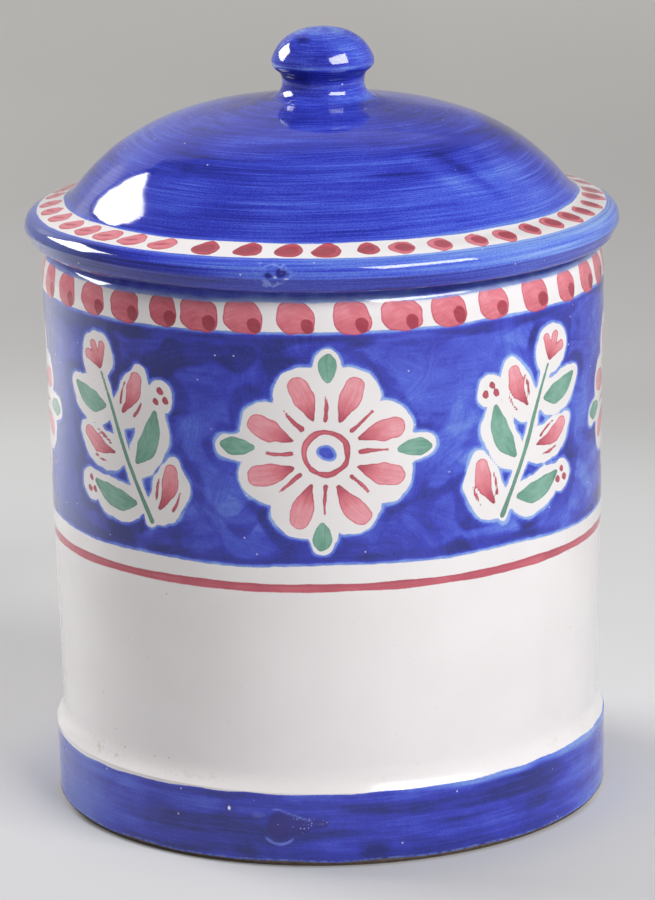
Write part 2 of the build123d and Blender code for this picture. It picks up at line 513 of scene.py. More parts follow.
def paint_wall(m):
    th, z = m.th, m.z
    u = th * R_WALL
    outer = (m.nr > 0.2) & (z > 60)
    idx = np.nonzero(outer & (z > 84) & (z < 186))[0]
    p = Painting(u[idx], z[idx])
    thp = th[idx]
    # frieze
    for k in range(4):
        rosette(p, k * ROUND / 4, 40 + k, turn=[0.0, 0.12, -0.1, 0.07][k])
        spray(p, (k + 0.5) * ROUND / 4, 60 + k, flip=[1, -1, 1, -1][k])
    # hand wobble of the reserve's edge
    p.layer["reserve"] += 0.22 * field(21, thp, p.v, 16, 16, 40) + 0.10 * field(22, thp, p.v, 6, 6, 40)
    p.layer["rose"] += 0.10 * field(23, thp, p.v, 7, 7, 40)
    reserve = p.layer["reserve"].copy()
    ground = np.minimum.reduce([-reserve, ground_top(thp) - p.v, p.v - ground_low(thp)])

    # dots between the ground and the collar
    front = [-73.3, -63.0, -52.5, -42.7, -33.0, -25.0, -15.8, -5.5, 5.4, 15.2, 25.1, 35.4, 46.6, 57.2, 66.9, 76.0]
    degs, rng = around(front, 10.4, 5)
    spots = np.full(len(p.u), -9.0)
    for k, deg in enumerate(degs):
        u0 = math.radians(deg) * R_WALL
        i, Q = p.near(u0, (-12, 166), (12, 186))
        w = 6.15 + rng.normal(0, 0.3)
        w *= 0.86 if deg in (-33.0, 57.2, 66.9) else 1.0
        x, y = Q[:, 0], Q[:, 1] - (176.0 + rng.normal(0, 0.12))
        x = x + 0.10 * y                       # the brush leans as it lifts
        y = y + 0.07 * x + 0.010 * x * x * (x < 0)
        ins = dot_shape(x, y, w, 5.25 + rng.normal(0, 0.15), 2.6)
        ins += 0.14 * field(700 + k, thp[i], p.v[i], 9, 9, 24)
        # the loaded tip: a darker spot low on the right
        sx, sy = x - (0.54 * w + rng.normal(0, 0.25)), y + (1.9 if deg < 20 else 1.2) + rng.normal(0, 0.25)
        spot = dot_shape(sx - 0.05 * sy, sy, 2.15 + rng.normal(0, 0.14), 2.95 + rng.normal(0, 0.2), 2.0)
        spot = spot - 0.9 * smoothstep(0.5, 3.0, sy)
        tone = 0.28 + 0.10 * smoothstep(0.5, -4.0, y) + 0.04 * rng.normal() - 0.07 * smoothstep(1.0, -3.5, x) * smoothstep(-2.0, 2.5, y)
        # painted shade: the dots on the left of the front are made deeper
        if -100 < deg < -22:
            tone = tone + 0.12
        win = ins > p.layer["rose"][i]
        j = i[win]
        p.layer["rose"][j] = ins[win]
        spots[j] = spot[win]
        p.tone[j] = tone[win]
        p.su[j] = Q[win, 0] + 11 * k
        p.sv[j] = Q[win, 1] + 0.35 * np.abs(Q[win, 0]) + 2.3 * k

    # washes of the blue ground: broad strokes laid over one another
    rng = np.random.default_rng(77)
    tone = 0.58 + 0.07 * field(31, thp, p.v, 90, 40, 30)
    wash_u = p.u.copy()
    wash_v = p.v.copy()

    def wash(half, radius, ang, bend, goal, amount, soft, pool):
        u0 = rng.uniform(0, ROUND)
        v0 = rng.uniform(95, 173)
        a = np.array([math.cos(ang), math.sin(ang)])
        n = np.array([-a[1], a[0]])
        C, t = curve2([(-a * half) + [0, v0], n * bend + [0, v0], (a * half) + [0, v0]], 1.2)
        R = radius * (0.60 + 0.40 * np.sin(PI * (0.1 + 0.8 * t)))
        pad = R.max() + 1
        i, Q = p.near(u0, C.min(0) - pad, C.max(0) + pad)
        if not len(i):
            return
        D = np.hypot(Q[:, None, 0] - C[None, :, 0], Q[:, None, 1] - C[None, :, 1]) - R[None]
        near = D.argmin(1)
        ins = -D[np.arange(len(near)), near] + 0.9 * field(900 + k, thp[i], p.v[i], 22, 22, 12)
        T = np.gradient(C, axis=0)
        T /= np.hypot(*T.T)[:, None]
        off = (Q[:, 0] - C[near, 0]) * -T[near, 1] + (Q[:, 1] - C[near, 1]) * T[near, 0]
        cover = smoothstep(0.0, soft, ins) * amount
        tone[i] = tone[i] * (1 - cover) + goal * cover
        # pigment gathers along one side of a stroke
        side = rng.choice([-1, 1])
        tone[i] += pool * amount * np.exp(-((ins - 0.8) / 0.6) ** 2) * (off * side > 0)
        put = ins > 0.3
        wash_u[i[put]] = t[near[put]] * 2 * half + 2.1 * k
        wash_v[i[put]] = off[put] + 0.9 * (k % 9)

    for k in range(95):                        # wide wet strokes
        steep = rng.random() < 0.55
        ang = rng.normal(0, 0.25) if not steep else rng.choice([-1, 1]) * rng.uniform(0.8, 1.57)
        wash(rng.uniform(14, 34) * (0.7 if steep else 1), rng.uniform(5, 10), ang, rng.normal(0, 7),
             np.clip(rng.normal(0.58, 0.21), 0.20, 0.95), rng.uniform(0.45, 0.85), rng.uniform(0.8, 3.5), 0.10)
    for k in range(95, 300):                   # narrower ones over them
        steep = rng.random() < 0.4
        ang = rng.normal(0, 0.18) if not steep else rng.choice([-1, 1]) * rng.uniform(0.7, 1.5)
        wash(rng.uniform(8, 22) * (0.6 if steep else 1), rng.uniform(1.8, 4.6), ang, rng.normal(0, 3.5),
             np.clip(rng.normal(0.57, 0.18), 0.22, 0.95), rng.uniform(0.15, 0.48), rng.uniform(0.8, 3.0), 0.12)
    # broad thick and thin areas of the coat
    for deg, zz, wide, tall, amt in ((2.0, 102.0, 26.0, 7.0, 0.24), (-38.0, 106.0, 20.0, 9.0, 0.18), (37.0, 105.0, 18.0, 9.0, -0.24),
                                     (42.0, 158.0, 14.0, 10.0, -0.16), (-32.0, 160.0, 16.0, 12.0, 0.10), (-60.0, 130.0, 16.0, 30.0, -0.06),
                                     (62.0, 120.0, 14.0, 24.0, -0.08), (-12.0, 163.0, 16.0, 7.0, 0.16), (20.0, 112.0, 12.0, 8.0, 0.12)):
        du = ((thp - math.radians(deg) + PI) % (2 * PI) - PI) * R_WALL
        tone += amt * np.exp(-(du / wide) ** 2 - ((p.v - zz) / tall) ** 2)
    # round each white reserve the outline stroke shows as a dark border
    strength = np.clip(0.36 + 0.20 * field(32, thp, p.v, 34, 28, 30), 0.0, 0.70)
    width = 3.8 + 1.2 * field(33, thp, p.v, 26, 26, 24)
    b = ground
    border = smoothstep(1.0, 1.9, b) * (1 - smoothstep(width, width + 1.6, b))
    tone += strength * border * (1 - tone) * 1.25
    # a firm darker line under the dotted band
    down = ground_top(thp) - p.v
    line_w = np.clip(3.4 + 1.5 * field(34, thp, thp * 0, 70, 40, 14) - 0.9 * np.sin(thp), 1.2, 6.5)
    line = smoothstep(1.1, 1.9, down) * (1 - smoothstep(line_w, line_w + 1.0, down))
    tone += line * (1 - tone) * np.clip(0.46 + 0.2 * field(35, thp, thp * 0, 40, 40, 14), 0.1, 0.8)
    # and the lowest stroke of the ground is a firm one too
    up = p.v - ground_low(thp)
    base_w = 6.0 + 2.0 * field(36, thp, thp * 0, 60, 40, 14)
    foot = smoothstep(0.5, 1.6, up) * (1 - smoothstep(base_w * 0.6, base_w, up))
    tone += foot * (1 - tone) * np.clip(0.30 + 0.22 * field(37, thp, thp * 0, 50, 40, 14), 0.0, 0.65)
    # the coat is heavier towards the left side of the front
    tone += 0.19 * smoothstep(-0.60, -1.05, thp) * smoothstep(-2.4, -1.9, thp)
    tone += 0.09 * smoothstep(-0.45, -0.70, thp) * smoothstep(-1.2, -0.95, thp)
    tone = np.clip(tone, 0.05, 1.0)

    def full(values, rest):
        out = np.full(len(th), float(rest))
        out[idx] = values
        return out

    blue = full(ground, -9.0)
    # dab of blue in each heart
    blue = np.maximum(blue, full(p.layer["dab"], -9.0))
    deep = full(tone, 0.5)
    heart = full(p.layer["dab"], -9.0)
    deep = np.where(heart > -0.3, 0.62, deep)
    deep = np.where(z < 40, band_tone(th, z), deep)
    # foot band's edge where it climbs over the seam
    low = foot_edge(th) - z
    blue = np.where((z < 40) & (m.nr > -0.9), np.where(m.nr > 0.05, low, -9), blue)
    collar = np.where((m.nr > -0.2) & (z > 150), z - collar_edge(th), -9.0)
    # dust caught in the cove: most of it at the left, a little at the right
    grime = 0.06 + 0.0 * th
    for deg, zz, wu, wz, amt in ((-57.0, 27.6, 5.0, 2.6, 1.0), (-50.0, 26.6, 4.0, 1.6, 0.9), (-29.0, 26.6, 7.0, 1.1, 0.5),
                                 (54.0, 27.2, 3.2, 1.4, 0.9), (66.0, 28.4, 3.6, 2.2, 1.0), (79.0, 30.0, 4.0, 3.0, 0.8),
                                 (150.0, 27.0, 9.0, 1.8, 0.8), (-130.0, 27.0, 6.0, 1.6, 0.7)):
        du = ((th - math.radians(deg) + PI) % (2 * PI) - PI) * 89.5
        grime = grime + amt * np.exp(-(du / wu) ** 2 - ((z - zz) / wz) ** 2)
    grime = np.where(z < 60, np.clip(grime, 0, 1), 0.0)
    m.attrs.update(
        blue=blue, deep=deep, wash_u=full(wash_u, 0) * MM, wash_v=full(wash_v, 0) * MM,
        rose=full(p.layer["rose"], -9.0), tone=full(np.clip(p.tone, 0, 1), 0.3),
        green=full(p.layer["green"], -9.0), su=full(p.su, 0) * MM, sv=full(p.sv, 0) * MM,
        collar=collar, inner=np.where(m.nr < -0.2, 1.0, 0.0), grime=grime, spot=full(spots, -9.0),
    )


# =========================================================================
# node helpers
# =========================================================================
class Mat:
    def __init__(self, name):
        self.m = bpy.data.materials.new(name)
        self.m.use_nodes = True
        self.t = self.m.node_tree
        self.t.nodes.clear()
        self.out = self.t.nodes.new("ShaderNodeOutputMaterial")
        self.bsdf = self.t.nodes.new("ShaderNodeBsdfPrincipled")
        self.t.links.new(self.bsdf.outputs[0], self.out.inputs[0])
        co = self.t.nodes.new("ShaderNodeTexCoord")
        self.pos = co.outputs["Object"]
        sep = self.t.nodes.new("ShaderNodeSeparateXYZ")
        self.t.links.new(self.pos, sep.inputs[0])
        self.x, self.y, self.z = sep.outputs

    def put(self, socket, value):
        if isinstance(value, bpy.types.NodeSocket):
            self.t.links.new(value, socket)
        elif isinstance(value, (tuple, list)) and len(value) == 3 and socket.type == "RGBA":
            socket.default_value = (*value, 1.0)
        else:
            socket.default_value = value

    def math(self, op, a, b=None, c=None, clamp=False):
        n = self.t.nodes.new("ShaderNodeMath")
        n.operation, n.use_clamp = op, clamp
        for i, v in enumerate((a, b, c)):
            if v is not None:
                self.put(n.inputs[i], v)
        return n.outputs[0]

    def add(self, *vals):
        out = vals[0]
        for v in vals[1:]:
            out = self.math("ADD", out, v)
        return out

    def mul(self, *vals):
        out = vals[0]
        for v in vals[1:]:
            out = self.math("MULTIPLY", out, v)
        return out

    def sub(self, a, b):
        return self.math("SUBTRACT", a, b)

    def mad(self, a, b, c):
        return self.math("MULTIPLY_ADD", a, b, c)

    def step(self, x, a, b, lo=0.0, hi=1.0):
        n = self.t.nodes.new("ShaderNodeMapRange")
        n.interpolation_type = "SMOOTHSTEP"
        self.put(n.inputs["Value"], x)
        self.put(n.inputs["From Min"], a)
        self.put(n.inputs["From Max"], b)
        self.put(n.inputs["To Min"], lo)
        self.put(n.inputs["To Max"], hi)
        return n.outputs[0]

    def attr(self, name):
        n = self.t.nodes.new("ShaderNodeAttribute")
        n.attribute_name = name
        return n.outputs["Fac"]

    def vec(self, x, y, z):
        n = self.t.nodes.new("ShaderNodeCombineXYZ")
        for s, v in zip(n.inputs, (x, y, z)):
            self.put(s, v)
        return n.outputs[0]

    def noise(self, vector, scale, detail=2.0, rough=0.5, distort=0.0):
        n = self.t.nodes.new("ShaderNodeTexNoise")
        self.put(n.inputs["Vector"], vector)
        self.put(n.inputs["Scale"], scale)
        self.put(n.inputs["Detail"], detail)
        self.put(n.inputs["Roughness"], rough)
        self.put(n.inputs["Distortion"], distort)
        return n.outputs["Fac"]

    def cells(self, scale, vector=None):
        n = self.t.nodes.new("ShaderNodeTexVoronoi")
        self.put(n.inputs["Vector"], vector if vector is not None else self.pos)
        self.put(n.inputs["Scale"], scale)
        return n.outputs["Distance"], n.outputs["Color"]

    def mix(self, f, a, b, blend="MIX"):
        n = self.t.nodes.new("ShaderNodeMix")
        n.data_type = "RGBA"
        n.blend_type = blend
        ins = [s for s in n.inputs if s.enabled]
        self.put(ins[0], f)
        self.put(ins[1], a)
        self.put(ins[2], b)
        return [s for s in n.outputs if s.enabled][0]

    def ramp(self, f, stops):
        n = self.t.nodes.new("ShaderNodeValToRGB")
        n.color_ramp.interpolation = "EASE" if len(stops) == 2 else "LINEAR"
        els = n.color_ramp.elements
        while len(els) < len(stops):
            els.new(0.5)
        for e, (p, col) in zip(els, stops):
            e.position = p
            e.color = (*col, 1.0)
        self.put(n.inputs[0], f)
        return n.outputs[0]

    def bump(self, height, strength, distance):
        n = self.t.nodes.new("ShaderNodeBump")
        n.inputs["Strength"].default_value = strength
        n.inputs["Distance"].default_value = distance
        self.put(n.inputs["Height"], height)
        return n.outputs[0]

    def shader(self, color, rough, normal, ior=1.58, spec=0.5):
        self.put(self.bsdf.inputs["Base Color"], color)
        self.put(self.bsdf.inputs["Roughness"], rough)
        self.put(self.bsdf.inputs["Normal"], normal)
        self.bsdf.inputs["IOR"].default_value = ior
        self.bsdf.inputs["Specular IOR Level"].default_value = spec
        return self.m

    def oval(self, deg, z, wide, tall):
        """Distance over the outside from (deg, z mm), in half-axes of an oval in mm."""
        c, s = math.cos(math.radians(deg)), math.sin(math.radians(deg))
        u = self.mad(self.x, c / (wide * MM), self.mul(self.y, s / (wide * MM)))
        v = self.mad(self.z, 1 / (tall * MM), -z / tall)
        near_side = self.mad(self.x, s, self.mul(self.y, -c))
        e = self.math("SQRT", self.add(self.mul(u, u), self.mul(v, v)))
        return self.add(e, self.step(near_side, 0.0, 0.001, 50.0, 0.0))

    # ---- round-the-axis coordinates, without a seam ----
    def polar(self, round_scale, along, along_scale, dx=0.0):
        """Vector (cos, sin) * round_scale with a third part along * along_scale."""
        flat = self.vec(self.sub(self.x, dx) if dx else self.x, self.y, 0.0)
        n = self.t.nodes.new("ShaderNodeVectorMath")
        n.operation = "NORMALIZE"
        self.t.links.new(flat, n.inputs[0])
        s = self.t.nodes.new("ShaderNodeSeparateXYZ")
        self.t.links.new(n.outputs[0], s.inputs[0])
        return self.vec(self.mul(s.outputs[0], round_scale), self.mul(s.outputs[1], round_scale),
                        self.mul(along, along_scale))


# ---- colours (linear) ----
WHITE = (0.800, 0.785, 0.772)
BLUE = [(0.00, (0.262, 0.395, 0.750)), (0.22, (0.146, 0.250, 0.682)), (0.50, (0.064, 0.106, 0.612)),
        (0.74, (0.030, 0.040, 0.448)), (1.00, (0.012, 0.019, 0.185))]
ROSE = [(0.00, (0.800, 0.350, 0.400)), (0.25, (0.680, 0.180, 0.225)), (0.60, (0.490, 0.060, 0.102)),
        (1.00, (0.305, 0.017, 0.042))]
GREEN = [(0.00, (0.220, 0.440, 0.350)), (0.45, (0.090, 0.290, 0.205)), (1.00, (0.035, 0.150, 0.110))]
CLAY = [(0.30, (0.420, 0.270, 0.175)), (0.70, (0.520, 0.360, 0.245))]
# bare clay darkened as painted contact shade, at the foot's lowest edge
CLAY_IN_SHADE = [(0.30, (0.060, 0.042, 0.032)), (0.70, (0.135, 0.098, 0.075))]


def white_glaze(m):
    """Milky white with faint clouding and a few grey-brown specks."""
    cloud = m.noise(m.pos, 42.0, 3.0, 0.55)
    col = m.mix(m.step(cloud, 0.32, 0.72), (0.800, 0.771, 0.777), (0.776, 0.744, 0.748))
    d, c = m.cells(150.0)
    speck = m.mul(m.step(d, 0.040, 0.055, 1.0, 0.0), m.step(m.noise(m.pos, 23.0, 1.0), 0.52, 0.60))
    return m.mix(m.mul(speck, 0.55), col, (0.36, 0.32, 0.27))


def blue_paint(m, tone, thin=0.55):
    """Cobalt by its depth, with a greyer coat down the left side: partly a thinner coat, partly painted shade and
    reflection there.
    """
    side = m.mul(m.step(m.x, -0.068, -0.084), m.step(m.noise(m.pos, 26.0, 2.0), 0.20, 0.50, 0.75, 1.0))
    return m.mix(m.mul(side, thin), m.ramp(tone, BLUE), (0.120, 0.168, 0.470))


def pin_specks(m, scale=175.0, size=0.058):
    """Tiny pinholes that let the white glaze through."""
    d, _ = m.cells(scale)
    return m.step(d, size * 0.7, size, 1.0, 0.0)


def wall_material():
    m = Mat("painted_wall")
    white = white_glaze(m)
    z_mm = m.mul(m.z, 1000.0)
    # ---- fine noise at edges of paint ----
    edge = m.mad(m.noise(m.pos, 900.0, 2.0, 0.6), 0.5, -0.25)        # +-0.25 mm
    edge_s = m.mad(m.noise(m.pos, 260.0, 2.0, 0.5), 0.44, -0.22)
    wobble = m.add(edge, edge_s)
    # ---- blue ground ----
    blue = m.add(m.attr("blue"), m.mul(wobble, 0.55))
    wash = m.vec(m.mul(m.attr("wash_u"), 1.0), m.mul(m.attr("wash_v"), 1.0), 0.0)
    n = m.t.nodes.new("ShaderNodeVectorMath")
    n.operation = "MULTIPLY"
    m.t.links.new(wash, n.inputs[0])
    n.inputs[1].default_value = (55.0, 900.0, 0.0)
    streak = m.noise(n.outputs[0], 1.0, 3.0, 0.6)
    n2 = m.t.nodes.new("ShaderNodeVectorMath")
    n2.operation = "MULTIPLY"
    m.t.links.new(wash, n2.inputs[0])
    n2.inputs[1].default_value = (30.0, 260.0, 0.0)
    streak2 = m.noise(n2.outputs[0], 1.0, 2.0, 0.5)
    cloud = m.noise(m.pos, 95.0, 4.0, 0.62, 0.4)
    grain = m.noise(m.pos, 1500.0, 2.0, 0.6)
    tone = m.attr("deep")
    tone = m.mad(m.sub(streak, 0.5), 0.30, tone)
    tone = m.mad(m.sub(streak2, 0.5), 0.30, tone)
    tone = m.mad(m.sub(cloud, 0.5), 0.40, tone)
    tone = m.mad(m.sub(grain, 0.5), 0.26, tone)
    # translucent rim along every edge
    rim_w = m.mad(m.noise(m.pos, 130.0, 2.0), 1.5, 0.55)             # mm
    rim = m.sub(1.0, m.step(blue, m.mul(rim_w, 0.35), rim_w))
    high = m.step(z_mm, 30.0, 60.0)
    tone = m.sub(tone, m.mul(rim, m.mad(m.noise(m.pos, 210.0, 2.0), 0.50, 0.22), high))
    tone = m.math("MAXIMUM", tone, 0.02)
    col = m.mix(m.step(blue, -0.16, 0.20), white, blue_paint(m, tone))
    specks = pin_specks(m)
    col = m.mix(m.mul(specks, 0.75), col, (0.66, 0.68, 0.78))
    # ---- brush coordinates of rose and green ----
    brush = m.vec(m.attr("su"), m.attr("sv"), 0.0)
    n3 = m.t.nodes.new("ShaderNodeVectorMath")
    n3.operation = "MULTIPLY"
    m.t.links.new(brush, n3.inputs[0])
    n3.inputs[1].default_value = (160.0, 1100.0, 0.0)
    hairs = m.noise(n3.outputs[0], 1.0, 2.0, 0.55)
    blot = m.noise(m.pos, 330.0, 3.0, 0.6)
    # ---- green ----
    green = m.add(m.attr("green"), m.mul(wobble, 0.5))
    g_tone = m.add(m.attr("tone"), m.mad(hairs, 0.7, -0.35), m.mad(blot, 0.5, -0.25))
    g_edge = m.sub(1.0, m.step(green, 0.05, 0.5))
    g_col = m.ramp(m.mad(g_edge, 0.22, g_tone), GREEN)
    col = m.mix(m.mul(m.step(green, -0.12, 0.14), 0.93), col, g_col)
    # ---- rose ----
    rose = m.add(m.attr("rose"), m.mul(wobble, 0.40))
    r_tone = m.add(m.attr("tone"), m.mad(hairs, 0.34, -0.17), m.mad(blot, 0.30, -0.15))
    r_edge = m.sub(1.0, m.step(rose, 0.0, 0.50))
    r_tone = m.mad(r_edge, 0.36, r_tone)
    spot = m.step(m.add(m.attr("spot"), m.mad(blot, 0.5, -0.25)), -0.10, 0.35)
    r_tone = m.add(r_tone, m.mul(spot, 0.56))
    r_col = m.ramp(r_tone, ROSE)
    col = m.mix(m.mul(m.step(rose, -0.12, 0.12), 0.96), col, r_col)
    # ---- red line drawn on the wheel ----
    ring = m.polar(1.0, m.z, 0.0)
    drift = m.noise(ring, 1.6, 1.0)
    centre = m.mad(drift, 1.1, 89.95)
    width = m.mad(m.noise(ring, 5.0, 2.0), 1.1, 0.80)
    off = m.math("ABSOLUTE", m.sub(z_mm, centre))
    line = m.add(m.sub(width, off), m.mul(wobble, 0.35))
    l_streak = m.noise(m.polar(6.0, m.z, 2600.0), 1.0, 3.0, 0.6)
    l_pool = m.noise(m.polar(9.0, m.z, 60.0), 1.0, 2.0)
    l_tone = m.add(0.60, m.mad(l_streak, 0.5, -0.25), m.mad(l_pool, 0.5, -0.25))
    l_tone = m.mad(m.step(m.sub(z_mm, centre), 0.2, 1.1), 0.16, l_tone)
    col = m.mix(m.mul(m.step(line, -0.15, 0.18), 0.95), col, m.ramp(l_tone, ROSE))
    # ---- collar, laid over the tops of the dots ----
    collar = m.add(m.attr("collar"), m.mul(wobble, 0.6))
    c_streak = m.noise(m.polar(7.0, m.z, 900.0), 1.0, 3.0, 0.6)
    c_cloud = m.noise(m.polar(16.0, m.z, 120.0), 1.0, 2.0)
    c_tone = m.add(0.50, m.mad(c_streak, 0.6, -0.3), m.mad(c_cloud, 0.6, -0.3))
    # painted shade: the collar is made deeper on the left, under the roll
    c_tone = m.mad(m.step(m.x, -0.020, -0.075), 0.22, c_tone)
    c_rim = m.sub(1.0, m.step(collar, 0.2, 2.3))
    c_tone = m.sub(c_tone, m.mul(c_rim, 0.52))
    c_cover = m.mul(m.step(collar, -0.22, 0.30), m.mad(c_rim, -0.14, 0.99))
    col = m.mix(c_cover, col, blue_paint(m, m.math("MAXIMUM", c_tone, 0.02)))
    # ---- inside and rim: plain white, thin over the clay on the land ----
    inner = m.attr("inner")
    col = m.mix(m.step(inner, 0.4, 0.6), col, white)
    land = m.mul(m.step(z_mm, 183.55, 183.9), m.step(m.noise(m.pos, 160.0, 4.0, 0.7), 0.36, 0.58))
    clay = m.ramp(m.noise(m.pos, 700.0, 3.0), CLAY)
    col = m.mix(m.mul(land, 0.85), col, clay)
    # ---- grime and crazing in the cove ----
    cove = m.mul(m.step(z_mm, 24.2, 25.6), m.step(z_mm, 28.0, 32.5, 1.0, 0.0))
    dirt = m.mul(cove, m.attr("grime"), m.step(m.noise(m.pos, 620.0, 4.0, 0.7), 0.52, 0.64))
    dirt = m.mul(dirt, m.step(blue, -0.2, -0.8))
    col = m.mix(m.mul(dirt, 0.62), col, (0.36, 0.27, 0.18))
    # ---- finish ----
    rough = m.add(0.055, m.mul(m.noise(m.pos, 75.0, 3.0), 0.045), m.mul(land, 0.55))
    rough = m.math("ADD", rough, m.add(m.mul(dirt, 0.25), m.mul(m.step(z_mm, 32.0, 27.0), m.step(z_mm, 23.0, 24.0), 0.13)), clamp=True)
    peel = m.noise(m.pos, 420.0, 2.0, 0.5)
    height = m.add(m.mul(peel, 0.22), m.mul(m.step(blue, -0.2, 0.5), 0.30), m.mul(m.step(rose, -0.2, 0.5), 0.28),
                   m.mul(streak, 0.16), m.mul(specks, -0.9), m.mul(dirt, 0.8))
    return m.shader(col, rough, m.bump(height, 0.55, 0.00003))


def lid_material(name, kind):
    """Blue brushed on in rings as the piece turned. kind: dome or knob."""
    m = Mat(name)
    white = white_glaze(m)
    s = m.attr("s")
    dome = kind == "dome"
    dx = 0.0 if dome else 0.0012
    wobble = m.add(m.mad(m.noise(m.pos, 900.0, 2.0, 0.6), 0.5, -0.25), m.mad(m.noise(m.pos, 260.0, 2.0), 0.44, -0.22))
    # (round the axis, along the outline, detail, share in the tone)
    sets = {"broad": (1.1, 60.0, 2.0, 0.34), "rings": (1.5, 420.0, 2.0, 0.34), "middle": (2.0, 1150.0, 2.0, 0.46),
            "fine": (2.8, 2500.0, 2.0, 0.60), "patch": (3.0, 30.0, 3.0, 0.26)} if dome else \
           {"broad": (0.7, 120.0, 2.0, 0.34), "rings": (0.9, 600.0, 2.0, 0.42), "middle": (1.2, 1500.0, 2.0, 0.60),
            "fine": (1.8, 3000.0, 2.0, 0.60), "patch": (2.0, 95.0, 3.0, 0.46)}
    # the brush did not run quite level
    s = m.add(s, m.mad(m.noise(m.polar(0.9, s, 16.0, dx), 1.0, 1.0), 0.003 if dome else 0.001, -0.0015 if dome else -0.0005))
    tone = m.attr("deep")
    grades = {}
    for key, (round_scale, along, detail, share) in sets.items():
        grades[key] = m.noise(m.polar(round_scale, s, along, dx), 1.0, detail, 0.6)
        tone = m.mad(m.sub(grades[key], 0.5), share, tone)
    tone = m.mad(m.sub(m.noise(m.pos, 1900.0, 2.0, 0.7), 0.5), 0.56, tone)
    rings, fine = grades["rings"], grades["fine"]
    blue = m.add(m.attr("blue"), m.mul(wobble, 0.28))
    rim = m.sub(1.0, m.step(blue, 0.25, 1.5))
    tone = m.sub(tone, m.mul(rim, 0.26))
    tone = m.math("MAXIMUM", tone, 0.02)
    col = m.mix(m.step(blue, -0.14, 0.2), white, blue_paint(m, tone))
    specks = pin_specks(m, 125.0, 0.046)
    col = m.mix(m.mul(specks, 0.65), col, (0.62, 0.66, 0.80))
    rough = m.add(0.060, m.mul(m.noise(m.pos, 90.0, 3.0), 0.05))
    height = m.add(m.mul(m.noise(m.pos, 420.0, 2.0), 0.20), m.mul(rings, 0.55), m.mul(fine, 0.34), m.mul(specks, -0.9))
    if dome:
        brush = m.vec(m.attr("su"), m.attr("sv"), 0.0)
        n3 = m.t.nodes.new("ShaderNodeVectorMath")
        n3.operation = "MULTIPLY"
        m.t.links.new(brush, n3.inputs[0])
        n3.inputs[1].default_value = (220.0, 1300.0, 0.0)
        hairs = m.noise(n3.outputs[0], 1.0, 2.0, 0.55)
        blot = m.noise(m.pos, 400.0, 3.0, 0.6)
        rose = m.add(m.attr("rose"), m.mul(wobble, 0.30))
        r_tone = m.add(m.attr("tone"), m.mad(hairs, 0.40, -0.20), m.mad(blot, 0.30, -0.15))
        r_tone = m.mad(m.sub(1.0, m.step(rose, 0.02, 0.42)), 0.34, r_tone)
        core = m.step(m.add(m.attr("core"), m.mad(blot, 0.5, -0.25)), -0.20, 0.50)
        r_tone = m.mad(core, m.attr("core_tone"), r_tone)
        col = m.mix(m.mul(m.step(rose, -0.10, 0.12), 0.97), col, m.ramp(r_tone, ROSE))
        # blemish on the roll: two pits in a broken pale ring, with specks of white glaze
        skew = m.mad(m.noise(m.pos, 430.0, 3.0), 1.1, -0.55)
        ring = m.add(m.oval(-9.2, 190.1, 6.2, 3.3), m.mul(skew, 1.15))
        pale = m.mul(m.step(ring, 0.66, 0.84), m.step(ring, 0.90, 1.08, 1.0, 0.0))
        col = m.mix(m.mul(m.step(ring, 0.55, 0.85, 1.0, 0.0), 0.30), col, (0.03, 0.045, 0.46))
        col = m.mix(m.mul(pale, m.step(m.noise(m.pos, 240.0, 2.0), 0.34, 0.56), 0.58), col, (0.26, 0.38, 0.84))
        flecks = m.math("MAXIMUM", m.step(m.add(m.oval(-8.55, 189.7, 0.62, 0.50), m.mul(skew, 0.5)), 0.6, 1.1, 1.0, 0.0),
                        m.step(m.add(m.oval(-6.55, 189.15, 0.95, 0.34), m.mul(skew, 0.5)), 0.6, 1.1, 1.0, 0.0))
        col = m.mix(m.mul(flecks, 0.62), col, (0.55, 0.60, 0.86))
        first = m.step(m.add(m.oval(-10.0, 190.1, 1.45, 1.15), skew), 0.60, 1.10, 1.0, 0.0)
        second = m.add(m.oval(-7.5, 190.8, 2.05, 1.75), skew)
        second = m.mul(m.step(second, 0.55, 1.10, 1.0, 0.0), m.step(second, -0.1, 0.45, 0.30, 1.0))
        pits = m.math("MAXIMUM", m.math("MAXIMUM", first, second), m.step(m.attr("pit"), 0.15, 0.8))
        col = m.mix(m.mul(pits, 0.93), col, (0.012, 0.008, 0.185))
        inner = m.attr("inner")
        col = m.mix(m.step(inner, 0.4, 0.6), col, white)
        under = m.mul(m.step(m.attr("seat"), 0.4, 0.6), m.step(m.noise(m.pos, 150.0, 4.0, 0.7), 0.38, 0.60))
        clay = m.ramp(m.noise(m.pos, 700.0, 3.0), CLAY)
        col = m.mix(m.mul(under, 0.85), col, clay)
        rough = m.math("ADD", rough, m.mul(under, 0.55), clamp=True)
        height = m.add(height, m.mul(m.step(rose, -0.2, 0.4), 0.25))
    return m.shader(col, rough, m.bump(height, 0.5 if dome else 0.3, 0.00003))


